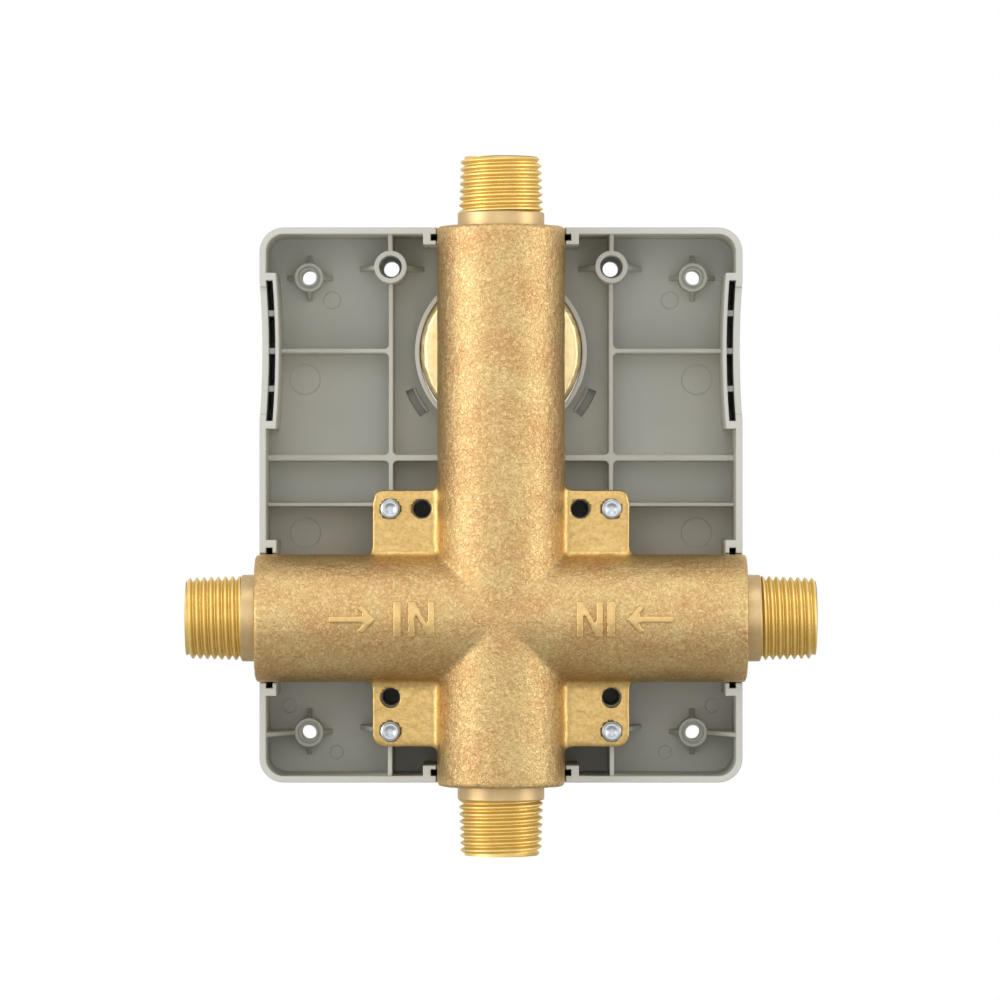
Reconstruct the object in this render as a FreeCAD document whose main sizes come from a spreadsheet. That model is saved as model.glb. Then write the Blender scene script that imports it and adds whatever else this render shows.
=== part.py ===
import FreeCAD, Part
import math
import os
from types import SimpleNamespace

import Sketcher

# A concealed shower valve body: a sand-cast brass cross with its mixing and diverting cartridges,
# service stops and check valves, screwed into an open-backed moulded box.
# Origin: centre of the four fixing holes, on the rear plane of the fixing bosses.
# +X right as seen from behind, +Y out of the wall towards the room, +Z up. Millimetres.

DIMENSIONS = {
    # moulded box
    "box_width": 122.7,
    "box_height": 141.0,
    "box_wall": 1.65,
    "box_corner": 6.2,
    "box_inner_corner": 4.5,
    "box_front_edge": 1.5,
    "floor_front": 10.0,
    "floor_thickness": 2.0,
    "box_depth": 27.0,
    "fixing_spacing_across": 98.7,
    "fixing_spacing_up": 117.0,
    "fixing_boss_radius": 3.7,
    "fixing_hole_radius": 1.9,
    "fixing_ring_inner": 2.4,
    "fixing_ring_outer": 2.85,
    "fixing_ring_depth": 0.5,
    "fixing_gusset_reach": 3.0,
    "spare_boss_across": 28.2,
    "spare_boss_height": 60.8,
    "screw_boss_radius": 4.15,
    "screw_boss_hole_radius": 2.75,
    "spare_hole_radius": 2.0,
    "spare_counterbore_radius": 2.9,
    "spare_counterbore_depth": 14.0,
    "spare_boss_length": 18.0,
    "spare_gusset_reach": 4.8,
    "gusset_thickness": 1.1,
    "rib_base": 1.5,
    "rib_height": 12.0,
    "rib_draft": 1.0,
    "rib_upper_z": 39.5,
    "rib_middle_z": 12.1,
    "rib_lower_z": 0.1,
    "rib_middle_base": 1.9,
    "rib_lower_base": 1.3,
    "rib_inner_end": 12.0,
    "rib_crossing_round": 1.2,
    "pocket_half_length": 17.85,
    "pocket_width": 1.7,
    "pocket_end_wall": 1.95,
    "pocket_inner_wall": 0.95,
    "pocket_floor": 2.0,
    "web_rim_drop": 0.8,
    "recess_z": 39.2,
    "recess_bow": 0.7,
    "recess_bow_radius": 228.0,
    "recess_lip_drop": 0.8,
    "recess_web": 1.5,
    "recess_web_spacing": 9.6,
    "recess_web_drop": 3.0,
    "saddle_clearance": 0.35,
    "main_window_radius": 24.2,
    "diverter_window_radius": 20.85,
    "stop_window_radius": 13.2,
    "window_collar_wall": 1.6,
    "window_collar_height": 5.0,
    "diverter_ring_wall": 1.2,
    "clip_slot_radius": 25.5,
    "clip_slot_angle": 30.0,
    "clip_slot_width": 2.0,
    "clip_slot_sweep": 8.2,
    "clip_slot_depth": 3.2,
    "clip_collar_margin": 2.6,
    "clip_lip_width": 0.6,
    "clip_lip_height": 1.2,
    "ejector_mark_depth": 0.2,
    # cast cross
    "tube_y": -18.0,
    "cross_z": -28.7,
    "diverter_z": 39.2,
    "tube_radius": 16.2,
    "tube_end_round": 1.6,
    "arm_reach": 62.3,
    "upper_reach": 99.4,
    "lower_reach": 42.6,
    "collar_radius": 11.0,
    "collar_length": 3.5,
    "collar_overlap": 2.0,
    "thread_length": 14.0,
    "thread_large_radius": 10.67,
    "thread_taper": 0.03125,
    "thread_pitch": 1.8143,
    "thread_depth": 1.05,
    "thread_tip_chamfer": 0.9,
    "lug_half_width": 32.5,
    "lug_half_thickness": 3.0,
    "lug_corner": 2.5,
    "lug_screw_across": 28.0,
    "lug_screw_upper": 27.7,
    "lug_screw_lower": 28.6,
    "lug_tapping_radius": 2.5,
    "lug_hole_radius": 2.54,
    "lug_hole_near": 20.1,
    "main_barrel_radius": 23.8,
    "main_barrel_front": 34.0,
    "main_seat": -6.0,
    "main_bore_radius": 20.1,
    "diverter_barrel_radius": 20.6,
    "diverter_barrel_back": -10.0,
    "diverter_barrel_front": 26.0,
    "diverter_seat": 0.0,
    "diverter_bore_radius": 17.3,
    "barrel_front_round": 0.8,
    "barrel_back_round": 2.5,
    "stop_x": 44.0,
    "stop_boss_radius": 12.6,
    "stop_boss_front": 13.0,
    "stop_bore_radius": 8.08,
    "stop_bore_back": -26.4,
    "stop_nut_bore_radius": 9.6,
    "stop_nut_seat": 6.0,
    # waterways
    "outlet_bore_radius": 7.5,
    "check_bore_radius": 8.0,
    "check_bore_end": 54.0,
    "inlet_bore_end": 8.6,
    "inlet_port_x": 12.5,
    "inlet_port_radius": 3.5,
    "mixed_port_z": 11.0,
    "mixed_port_radius": 4.3,
    "channel_x": 4.0,
    "channel_radius": 4.0,
    "front_channel_y": -12.0,
    "rear_channel_y": -27.0,
    "diverter_port_radius": 3.5,
    "diverter_port_x": 6.5,
    "diverter_port_drop": 5.0,
    "diverter_top_port": 8.0,
    "top_bore_end": 44.0,
    "bottom_bore_end": -60.0,
    "bottom_channel_end": -68.0,
    # fixing screws
    "screw_radius": 2.45,
    "screw_head_radius": 4.75,
    "screw_head_height": 3.4,
    "screw_tip_chamfer": 0.8,
    "screw_tip_reach": 2.0,
    # both cartridges
    "bore_overrun": 1.0,
    "running_gap": 0.06,
    "disc_gap": 0.05,
    "flange_gap": 0.35,
    "base_seal_thickness": 0.8,
    "drive_flange_height": 3.0,
    "housing_roof": 4.0,
    "nut_gap": 0.4,
    "nut_flange_height": 4.5,
    "spline_length": 11.0,
    "spline_groove_width": 0.6,
    "spline_groove_depth": 0.55,
    "tip_chamfer": 0.5,
    # mixing cartridge
    "main_nut_bore_radius": 21.2,
    "main_nut_seat": 24.5,
    "base_seal_radius": 19.6,
    "cartridge_radius": 20.0,
    "mixing_base_height": 16.0,
    "mixing_disc_radius": 17.0,
    "mixing_disc_height": 3.0,
    "moving_disc_radius": 15.5,
    "moving_disc_height": 3.5,
    "mixing_chamber_radius": 10.5,
    "mixing_chamber_offset": 2.0,
    "drive_slot_length": 16.0,
    "drive_slot_width": 5.0,
    "drive_slot_depth": 1.2,
    "drive_tang_gap": 0.1,
    "drive_flange_radius": 13.0,
    "housing_cavity_radius": 17.2,
    "mixing_neck": 13.0,
    "mixing_neck_radius": 10.0,
    "mixing_shaft_radius": 6.0,
    "mixing_shaft_reach": 6.0,
    "mixing_spline_radius": 4.9,
    "mixing_nut_counterbore": 14.2,
    "mixing_nut_across_corners": 47.0,
    "limit_ring_lift": 0.4,
    "limit_ring_radius": 13.4,
    "limit_ring_height": 3.0,
    "limit_lug_width": 3.0,
    "limit_lug_reach": 1.2,
    "sleeve_radius": 5.3,
    "sleeve_length": 30.0,
    "sleeve_port_radius": 1.8,
    "spool_radius": 3.2,
    "spool_groove_radius": 2.2,
    "spool_length": 24.0,
    "spool_land": 7.0,
    # diverter cartridge
    "diverter_nut_bore_radius": 18.2,
    "diverter_nut_seat": 13.0,
    "diverter_seal_radius": 16.9,
    "diverter_cartridge_radius": 17.2,
    "diverter_cavity_radius": 14.7,
    "diverter_disc_radius": 14.6,
    "diverter_disc_height": 3.0,
    "diverter_moving_radius": 13.0,
    "diverter_chamber_radius": 8.0,
    "diverter_chamber_offset": 3.0,
    "diverter_slot_length": 12.0,
    "diverter_slot_width": 4.0,
    "diverter_slot_depth": 1.0,
    "diverter_flange_radius": 10.0,
    "diverter_neck": 13.0,
    "diverter_neck_radius": 8.5,
    "diverter_shaft_radius": 5.0,
    "diverter_shaft_reach": 5.0,
    "diverter_spline_radius": 4.2,
    "diverter_nut_counterbore": 11.5,
    "diverter_nut_across_corners": 40.8,
    # service stops
    "stop_plug_radius": 8.0,
    "stop_shoulder": 3.9,
    "stop_stem_radius": 5.0,
    "stop_stem_front": 19.0,
    "stop_way_radius": 5.6,
    "stop_slot_depth": 2.0,
    "stop_slot_width": 1.6,
    "stop_seal_height": 1.9,
    "gland_across_corners": 24.6,
    "gland_head": 4.0,
    # check valves
    "check_length": 12.0,
    "check_fit_gap": 0.05,
    "check_guide_thickness": 1.5,
    "check_guide_hole": 1.4,
    "check_inner_radius": 6.4,
    "check_seat_radius": 4.4,
    "check_seat_thickness": 2.0,
    "check_flow_radius": 1.5,
    "check_flow_ring": 4.3,
    "poppet_radius": 5.6,
    "poppet_thickness": 1.6,
    "poppet_nose_radius": 4.1,
    "poppet_nose_height": 1.2,
    "poppet_stem_radius": 1.2,
    "poppet_stem_end": 0.8,
    "spring_radius": 2.6,
    "spring_wire_radius": 0.3,
}


class Size:
    """A length or an angle: its number, and the sheet expression it is bound by."""

    def __init__(self, number, text):
        self.number = number
        self.text = text

    def __add__(self, other):
        other = as_size(other)
        return Size(self.number + other.number, f"({self.text} + {other.text})")

    def __sub__(self, other):
        other = as_size(other)
        return Size(self.number - other.number, f"({self.text} - {other.text})")

    def __rsub__(self, other):
        return as_size(other) - self

    def __mul__(self, other):
        other = as_size(other)
        return Size(self.number * other.number, f"({self.text} * {other.text})")

    def __truediv__(self, other):
        other = as_size(other)
        return Size(self.number / other.number, f"({self.text} / {other.text})")

    def __neg__(self):
        return Size(-self.number, f"(0 - {self.text})")

    __radd__ = __add__
    __rmul__ = __mul__


def as_size(value):
    """A Size as it is, or a plain number as a Size."""
    if isinstance(value, Size):
        return value
    return Size(float(value), f"{float(value):.6f}")


def cosine(angle):
    return Size(math.cos(math.radians(angle.number)), f"cos({angle.text})")


def sine(angle):
    return Size(math.sin(math.radians(angle.number)), f"sin({angle.text})")


doc = FreeCAD.newDocument("ShowerValve")
sheet = doc.addObject("Spreadsheet::Sheet", "Sizes")
for row, (alias, number) in enumerate(DIMENSIONS.items(), start=1):
    sheet.set(f"A{row}", alias)
    sheet.set(f"B{row}", str(number))
    sheet.setAlias(f"B{row}", alias)
doc.recompute()
d = SimpleNamespace(**{alias: Size(number, f"Sizes.{alias}") for alias, number in DIMENSIONS.items()})

RIM = d.floor_front - d.box_depth
FLOOR = d.floor_front - d.floor_thickness
SIDES = (("left", -1), ("right", 1))
SPLINE_COUNT = 20
SPRING_TURNS = 3
THREAD_TURNS = 7
THREAD_FORM = ((0.06, 0), (0.40, 1), (0.52, 1), (0.86, 0))
EJECTOR_MARKS = ((43.6, 52.9, 2.2), (50.6, 32.4, 3.9), (50.5, -7.2, 3.9), (54.6, -51.9, 1.8),
                 (42.4, -63.9, 1.7))
LINE_UP = FreeCAD.Rotation(0, 0, 0, 1)
LINE_FRONT = FreeCAD.Rotation(FreeCAD.Vector(1, 0, 0), -90)
LINE_RIGHT = FreeCAD.Rotation(FreeCAD.Vector(0, 1, 0), 90)
LINE_LEFT = FreeCAD.Rotation(FreeCAD.Vector(0, 1, 0), -90)
LINE_DOWN = FreeCAD.Rotation(FreeCAD.Vector(1, 0, 0), 180)

nodes = {}


def bind(target, property_path, size):
    """Bind one property of an object to the sheet."""
    target.setExpression(property_path, as_size(size).text)


def place(target, base, rotation):
    """Turn an object and hold its base point by named sizes."""
    numbers = [as_size(value).number for value in base]
    target.Placement = FreeCAD.Placement(FreeCAD.Vector(*numbers), rotation)
    for letter, value in zip("xyz", base):
        if as_size(value).number != 0:
            bind(target, f"Placement.Base.{letter}", value)


def node(label, target):
    """Name an object as one of the pieces of the valve."""
    target.Label = label
    nodes[label] = target
    return target


# Sketches: every corner, centre and radius is held by a dimension bound to the sheet

def origin_feature(body, role):
    """A plane or a line of a body's own origin."""
    for feature in body.Origin.OriginFeatures:
        if feature.Role == role:
            return feature
    raise ValueError(role)


def new_sketch(body, name, role, offset):
    sketch = body.newObject("Sketcher::SketchObject", name)
    sketch.AttachmentSupport = (origin_feature(body, role), "")
    sketch.MapMode = "FlatFace"
    shift = as_size(offset)
    if shift.number != 0:
        sketch.AttachmentOffset = FreeCAD.Placement(FreeCAD.Vector(0, 0, shift.number), LINE_UP)
        bind(sketch, "AttachmentOffset.Base.z", shift)
    return sketch


def hold_point(sketch, geometry, point, across, up):
    """Hold one point of a sketch by its two distances from the sketch's origin."""
    for kind, axis, value in (("DistanceX", -2, across), ("DistanceY", -1, up)):
        size = as_size(value)
        if size.number == 0:
            sketch.addConstraint(Sketcher.Constraint("PointOnObject", geometry, point, axis))
            continue
        index = sketch.addConstraint(Sketcher.Constraint(kind, -1, 1, geometry, point, size.number))
        sketch.setExpression(f"Constraints[{index}]", size.text)


def add_outline(sketch, corners):
    """A closed outline of straight sides through corners given as (across, up)."""
    points = [FreeCAD.Vector(as_size(a).number, as_size(u).number, 0) for a, u in corners]
    first = sketch.GeometryCount
    count = len(points)
    for index in range(count):
        sketch.addGeometry(Part.LineSegment(points[index], points[(index + 1) % count]), False)
    for index in range(count):
        following = first + (index + 1) % count
        sketch.addConstraint(Sketcher.Constraint("Coincident", first + index, 2, following, 1))
    for index, (across, up) in enumerate(corners):
        hold_point(sketch, first + index, 1, across, up)


def add_circle(sketch, across, up, radius):
    """A circle held by its centre and radius."""
    centre = FreeCAD.Vector(as_size(across).number, as_size(up).number, 0)
    index = sketch.addGeometry(Part.Circle(centre, FreeCAD.Vector(0, 0, 1), as_size(radius).number), False)
    hold_point(sketch, index, 3, across, up)
    held = sketch.addConstraint(Sketcher.Constraint("Radius", index, as_size(radius).number))
    sketch.setExpression(f"Constraints[{held}]", as_size(radius).text)


def rectangle(low_across, low_up, high_across, high_up):
    """The four corners of an upright rectangle."""
    return [(low_across, low_up), (high_across, low_up), (high_across, high_up), (low_across, high_up)]


def hexagon(across_corners):
    """The six corners of a hexagon about the sketch's origin."""
    radius = across_corners / 2
    return [(radius * cosine(as_size(60 * corner)), radius * sine(as_size(60 * corner))) for corner in range(6)]


def drawn(body, name, role, offset, outlines=(), circles=()):
    """A sketch on one of the body's planes with outlines and circles."""
    sketch = new_sketch(body, name, role, offset)
    for corners in outlines:
        add_outline(sketch, corners)
    for across, up, radius in circles:
        add_circle(sketch, across, up, radius)
    return sketch


def pad(body, sketch, length, taper=None, both_ways=False, forward=False):
    """Raise a sketch along its normal, with draft if a taper is given, or the other way if forward."""
    feature = body.newObject("PartDesign::Pad", sketch.Name + "_pad")
    feature.Profile = sketch
    feature.Length = as_size(length).number
    bind(feature, "Length", length)
    if taper is not None:
        bind(feature, "TaperAngle", taper)
    if both_ways:
        feature.SideType = "Symmetric"
    feature.Reversed = forward
    sketch.Visibility = False
    return feature


def pocket(body, sketch, length=None):
    """Cut a sketch into the body, to a depth or through everything on both sides."""
    feature = body.newObject("PartDesign::Pocket", sketch.Name + "_cut")
    feature.Profile = sketch
    if length is None:
        feature.Type = "ThroughAll"
        feature.SideType = "Symmetric"
    else:
        feature.Length = as_size(length).number
        bind(feature, "Length", length)
    return feature


def turned(label, profile, base=(0, 0, 0), rotation=LINE_UP):
    """A turned piece: its half section (radius, height) revolved about its own axis."""
    body = doc.addObject("PartDesign::Body", label)
    sketch = drawn(body, label + "_section", "XZ_Plane", 0, outlines=[profile])
    feature = body.newObject("PartDesign::Revolution", label + "_turned")
    feature.Profile = sketch
    feature.ReferenceAxis = (sketch, ["V_Axis"])
    feature.Angle = 360
    place(body, base, rotation)
    return body


def cylinder(name, radius, height, base, rotation):
    """A plain cylinder from its base point along a line."""
    solid = doc.addObject("Part::Cylinder", name)
    bind(solid, "Radius", radius)
    bind(solid, "Height", height)
    place(solid, base, rotation)
    return solid


def edges_where(shape, test):
    """Names of the edges whose end points and middle all pass a test."""
    found = []
    for index, edge in enumerate(shape.Edges, start=1):
        middle = edge.valueAt((edge.FirstParameter + edge.LastParameter) / 2)
        points = [vertex.Point for vertex in edge.Vertexes] + [middle]
        if all(test(point) for point in points):
            found.append(f"Edge{index}")
    return found


def body_fillet(body, name, radius, test):
    """Round the edges of a body's last feature that pass a test."""
    doc.recompute()
    base = body.Tip
    names = edges_where(base.Shape, test)
    if not names:
        raise ValueError(f"no edges for {name}")
    feature = body.newObject("PartDesign::Fillet", name)
    feature.Base = (base, names)
    feature.Radius = as_size(radius).number
    bind(feature, "Radius", radius)
    return feature


def solid_fillet(base, name, radius, test):
    """Round the edges of a solid that pass a test."""
    doc.recompute()
    names = edges_where(base.Shape, test)
    if not names:
        raise ValueError(f"no edges for {name}")
    feature = doc.addObject("Part::Fillet", name)
    feature.Base = base
    size = as_size(radius).number
    feature.Edges = [(int(edge[4:]), size, size) for edge in names]
    return feature


def near(value, size, tolerance=0.05):
    return abs(value - as_size(size).number) < tolerance


def in_order(first, second):
    """Two sizes, the lower first."""
    return sorted([first, second], key=lambda size: size.number)


# The moulded box: floor, rim wall, double-walled pockets, ribs, bosses and windows

def fixing_points():
    """The four outer bosses, as (across, up)."""
    across = d.fixing_spacing_across / 2
    up = d.fixing_spacing_up / 2
    return [(across * side, up * level) for side in (-1, 1) for level in (-1, 1)]


def lug_screw_points():
    """The four screws through the lugs, as (across, up)."""
    upper = d.cross_z + d.lug_screw_upper
    lower = d.cross_z - d.lug_screw_lower
    return [(d.lug_screw_across * side, up) for side in (-1, 1) for up in (lower, upper)]


def lug_hole_points():
    """The four plain holes of the lugs, as (across, up)."""
    upper = d.cross_z + d.lug_screw_upper
    lower = d.cross_z - d.lug_hole_near
    return ([(d.lug_hole_near * side, upper) for side in (-1, 1)]
            + [(d.lug_screw_across * side, lower) for side in (-1, 1)])


def gusset(centre, half_top, reach, top, foot):
    """A fin through a boss: level with the boss top, sloping down to the floor on both sides."""
    return [(centre - half_top - reach, foot), (centre - half_top, top),
            (centre + half_top, top), (centre + half_top + reach, foot)]


def add_sector(sketch, side, inner_radius, outer_radius, half_length):
    """A bowed strip between two arcs about a centre far outside the box's side wall."""
    middle = d.box_width / 2 - d.recess_bow
    centre_x = (middle + d.recess_bow_radius) * side
    facing = FreeCAD.Vector(0, 0, 1)
    centre = FreeCAD.Vector(centre_x.number, d.recess_z.number, 0)
    half = as_size(half_length)
    arcs = []
    for radius in (inner_radius, outer_radius):
        swing = math.asin(half.number / radius.number)
        start = -swing if side < 0 else math.pi - swing
        circle = Part.Circle(centre, facing, radius.number)
        arcs.append(sketch.addGeometry(Part.ArcOfCircle(circle, start, start + 2 * swing), False))
    starts = [sketch.Geometry[arc].StartPoint for arc in arcs]
    ends = [sketch.Geometry[arc].EndPoint for arc in arcs]
    first = sketch.addGeometry(Part.LineSegment(starts[0], starts[1]), False)
    second = sketch.addGeometry(Part.LineSegment(ends[0], ends[1]), False)
    for index, arc in enumerate(arcs):
        sketch.addConstraint(Sketcher.Constraint("Coincident", first, index + 1, arc, 1))
        sketch.addConstraint(Sketcher.Constraint("Coincident", second, index + 1, arc, 2))
        hold_point(sketch, arc, 3, centre_x, d.recess_z)
        radius = (inner_radius, outer_radius)[index]
        held = sketch.addConstraint(Sketcher.Constraint("Radius", arc, radius.number))
        sketch.setExpression(f"Constraints[{held}]", radius.text)
        for point in (1, 2):
            level = d.recess_z + half * (1 if (point == 2) == (side < 0) else -1)
            held = sketch.addConstraint(Sketcher.Constraint("DistanceY", -1, 1, arc, point, level.number))
            sketch.setExpression(f"Constraints[{held}]", level.text)


def curved_strip(side, near_radius, far_radius):
    """A strip that follows the diverter barrel, as six short sides between two radii."""
    corners = []
    for radius, steps in ((near_radius, (-1, -0.33, 0.33, 1)), (far_radius, (1, 0.33, -0.33, -1))):
        for step in steps:
            angle = d.clip_slot_angle + d.clip_slot_sweep * step
            corners.append((radius * cosine(angle) * side, d.diverter_z - radius * sine(angle)))
    return corners


def mounting_box():
    body = doc.addObject("PartDesign::Body", "mounting_box")
    half_width = d.box_width / 2
    half_height = d.box_height / 2
    inner_width = half_width - d.box_wall
    inner_height = half_height - d.box_wall
    inside_depth = d.box_depth - d.floor_thickness

    def on_floor(name, **shapes):
        return drawn(body, name, "XZ_Plane", -FLOOR, **shapes)

    def on_rim(name, **shapes):
        return drawn(body, name, "XZ_Plane", -RIM, **shapes)

    def on_front(name, **shapes):
        return drawn(body, name, "XZ_Plane", -d.floor_front, **shapes)

    # outer skin and the open back, rounded down their corners and round the front
    pad(body, on_front("skin", outlines=[rectangle(-half_width, -half_height, half_width, half_height)]),
        d.box_depth)
    pocket(body, on_rim("hollow", outlines=[rectangle(-inner_width, -inner_height, inner_width, inner_height)]),
           inside_depth)
    body_fillet(body, "hollow_corners", d.box_inner_corner,
                lambda p: near(abs(p.x), inner_width) and near(abs(p.z), inner_height))
    body_fillet(body, "skin_corners", d.box_corner,
                lambda p: near(abs(p.x), half_width) and near(abs(p.z), half_height))
    body_fillet(body, "skin_front_edge", d.box_front_edge, lambda p: near(p.y, d.floor_front))

    # grid ribs standing on the floor, and the round wall about the diverter barrel
    half_rib = d.rib_base / 2
    rib_x = d.spare_boss_across
    screw_high = d.cross_z + d.lug_screw_upper
    screw_low = d.cross_z - d.lug_screw_lower
    rib_root = d.box_wall / 2
    upright = [rectangle(rib_x * side - half_rib, low, rib_x * side + half_rib, high)
               for side in (-1, 1)
               for low, high in ((screw_high, inner_height + rib_root), (-inner_height - rib_root, screw_low))]
    pad(body, on_floor("upright_ribs", outlines=upright), d.rib_height, taper=-d.rib_draft)
    inner_wall_x = half_width - d.recess_bow - d.box_wall - d.pocket_width
    levels = (("rib_upper", d.rib_upper_z, d.rib_base, inner_wall_x, rib_x),
              ("rib_middle", d.rib_middle_z, d.rib_middle_base, inner_width + rib_root, d.rib_inner_end),
              ("rib_lower", d.rib_lower_z, d.rib_lower_base, inner_width + rib_root, rib_x))
    for name, level, base, outer, inner in levels:
        bars = [rectangle(-outer, level - base / 2, -inner, level + base / 2),
                rectangle(inner, level - base / 2, outer, level + base / 2)]
        pad(body, on_floor(name, outlines=bars), d.rib_height, taper=-d.rib_draft)
    body_fillet(body, "rib_crossings", d.rib_crossing_round,
                lambda p: near(abs(p.x), rib_x, 1.0) and (near(p.z, d.rib_upper_z, 1.0)
                                                          or near(p.z, d.rib_middle_z, 1.2)))

    diverter_ring = (0, d.diverter_z, d.diverter_window_radius + d.diverter_ring_wall)
    pad(body, on_floor("diverter_ring", circles=[diverter_ring]), d.rib_height)

    # bosses and the fins that stiffen them
    fixing = fixing_points()
    pad(body, on_floor("fixing_bosses", circles=[(x, z, d.fixing_boss_radius) for x, z in fixing]), FLOOR)
    spare = [(d.spare_boss_across * side, d.spare_boss_height) for side in (-1, 1)]
    pad(body, on_floor("spare_bosses", circles=[(x, z, d.screw_boss_radius) for x, z in spare]),
        d.spare_boss_length)
    screws = lug_screw_points()
    lug_front = d.tube_y + d.lug_half_thickness
    pad(body, on_floor("screw_bosses", circles=[(x, z, d.screw_boss_radius) for x, z in screws]),
        FLOOR - lug_front)
    foot = FLOOR + d.floor_thickness / 4
    fin_top = d.gusset_thickness / 2
    half_fixing = d.fixing_boss_radius - d.gusset_thickness / 2
    half_screw = d.screw_boss_radius - d.gusset_thickness / 2
    spacing_x = d.fixing_spacing_across / 2
    spacing_z = d.fixing_spacing_up / 2
    for name, up, boss_x, half_top, reach, top in (
            ("high_fixing_fins", spacing_z, spacing_x, half_fixing, d.fixing_gusset_reach, fin_top),
            ("low_fixing_fins", -spacing_z, spacing_x, half_fixing, d.fixing_gusset_reach, fin_top),
            ("spare_boss_fins", d.spare_boss_height, d.spare_boss_across, half_screw,
             d.spare_gusset_reach, FLOOR - d.spare_boss_length + fin_top),
            ("low_screw_fins", screw_low, d.lug_screw_across, half_screw,
             d.spare_gusset_reach, lug_front + fin_top)):
        fins = [gusset(boss_x * side, half_top, reach, top, foot) for side in (-1, 1)]
        pad(body, drawn(body, name, "XY_Plane", up, outlines=fins), d.gusset_thickness, both_ways=True)
    for name, side in SIDES:
        fins = []
        for level in (-1, 1):
            fin = gusset(spacing_z * level, half_fixing, d.fixing_gusset_reach, fin_top, foot)
            fins.append([(forward, up) for up, forward in fin])
        pad(body, drawn(body, f"{name}_fixing_fins", "YZ_Plane", spacing_x * side, outlines=fins),
            d.gusset_thickness, both_ways=True)

    # webs that rise from a boss to the rim: the low fixing bosses to the side walls, the upright ribs to
    # the top and bottom walls
    web_rim = RIM + d.web_rim_drop
    side_webs = [[((spacing_x + half_fixing) * side, foot), ((spacing_x + half_fixing) * side, fin_top),
                  ((inner_width + rib_root) * side, web_rim), ((inner_width + rib_root) * side, foot)]
                 for side in (-1, 1)]
    pad(body, drawn(body, "side_webs", "XY_Plane", -spacing_z, outlines=side_webs),
        d.gusset_thickness, both_ways=True)
    spare_top = FLOOR - d.spare_boss_length + fin_top
    end_webs = [[(foot, d.spare_boss_height + half_screw), (spare_top, d.spare_boss_height + half_screw),
                 (web_rim, inner_height + rib_root), (foot, inner_height + rib_root)],
                [(foot, screw_low - half_screw), (lug_front + fin_top, screw_low - half_screw),
                 (web_rim, -inner_height - rib_root), (foot, -inner_height - rib_root)]]
    for name, side in SIDES:
        pad(body, drawn(body, f"{name}_end_webs", "YZ_Plane", rib_x * side, outlines=end_webs),
            d.gusset_thickness, both_ways=True)

    # double-walled pockets behind the rim at the four saddles
    block_half = d.pocket_half_length + d.pocket_end_wall
    block_in = d.pocket_width + d.pocket_inner_wall
    blocks = []
    pockets = []
    for side in (-1, 1):
        across = in_order((inner_width + rib_root) * side, (inner_width - block_in) * side)
        blocks.append(rectangle(across[0], d.cross_z - block_half, across[1], d.cross_z + block_half))
        up = in_order((inner_height + rib_root) * side, (inner_height - block_in) * side)
        blocks.append(rectangle(-block_half, up[0], block_half, up[1]))
        across = in_order(inner_width * side, (inner_width - d.pocket_width) * side)
        pockets.append(rectangle(across[0], d.cross_z - d.pocket_half_length,
                                 across[1], d.cross_z + d.pocket_half_length))
        up = in_order(inner_height * side, (inner_height - d.pocket_width) * side)
        pockets.append(rectangle(-d.pocket_half_length, up[0], d.pocket_half_length, up[1]))
    pad(body, on_floor("saddle_blocks", outlines=blocks), inside_depth)

    # blank saddles of the side outlets: the same double wall, bowed in, with three webs
    recess_block = new_sketch(body, "recess_blocks", "XZ_Plane", -FLOOR)
    recess_pocket = new_sketch(body, "recess_pockets", "XZ_Plane", -RIM)
    recess_outside = new_sketch(body, "recess_outside", "XZ_Plane", -RIM)
    recess_lip = new_sketch(body, "recess_lip", "XZ_Plane", -RIM)
    bow = d.recess_bow_radius
    pocket_in = bow + d.box_wall
    pocket_out = pocket_in + d.pocket_width
    for _, side in SIDES:
        add_sector(recess_block, side, bow + d.box_wall / 2, pocket_out + d.pocket_inner_wall, block_half)
        add_sector(recess_pocket, side, pocket_in, pocket_out, d.pocket_half_length)
        add_sector(recess_outside, side, bow - d.box_wall, bow, d.pocket_half_length)
        add_sector(recess_lip, side, bow - d.box_wall, pocket_in + d.pocket_width / 2,
                   d.pocket_half_length - d.box_wall)
    pad(body, recess_block, inside_depth)
    pocket(body, recess_lip, d.recess_lip_drop)
    pocket(body, recess_outside, inside_depth)
    pocket(body, recess_pocket, inside_depth - d.pocket_floor)
    pocket(body, on_rim("saddle_pockets", outlines=pockets), inside_depth - d.pocket_floor)
    web_in = half_width - d.recess_bow - d.box_wall / 2
    web_out = web_in - d.pocket_width - d.box_wall / 2 - d.pocket_inner_wall / 2
    webs = []
    for step in (-1, 0, 1):
        middle = d.recess_z + d.recess_web_spacing * step
        low = middle - d.recess_web / 2
        high = middle + d.recess_web / 2
        webs.append(rectangle(-web_in, low, -web_out, high))
        webs.append(rectangle(web_out, low, web_in, high))
    pad(body, on_floor("recess_webs", outlines=webs), inside_depth - d.recess_web_drop)

    # saddles: the two tubes lie across the rim
    saddle = d.tube_radius + d.saddle_clearance
    pocket(body, drawn(body, "upright_saddle", "XY_Plane", 0, circles=[(0, d.tube_y, saddle)]))
    pocket(body, drawn(body, "level_saddle", "YZ_Plane", 0, circles=[(d.tube_y, d.cross_z, saddle)]))

    # windows for the front barrels, with a collar round each on the front
    low_windows = [(0, d.cross_z, d.main_window_radius)]
    low_windows += [(d.stop_x * side, d.cross_z, d.stop_window_radius) for side in (-1, 1)]
    collars = [(across, up, radius + d.window_collar_wall) for across, up, radius in low_windows]
    pad(body, on_front("window_collars", circles=collars), d.window_collar_height, forward=True)
    clip_collar = (0, d.diverter_z, d.clip_slot_radius + d.clip_collar_margin)
    pad(body, on_front("clip_collar", circles=[clip_collar]), d.window_collar_height, forward=True)
    pocket(body, on_front("windows", circles=low_windows + [(0, d.diverter_z, d.diverter_window_radius)]))

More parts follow.
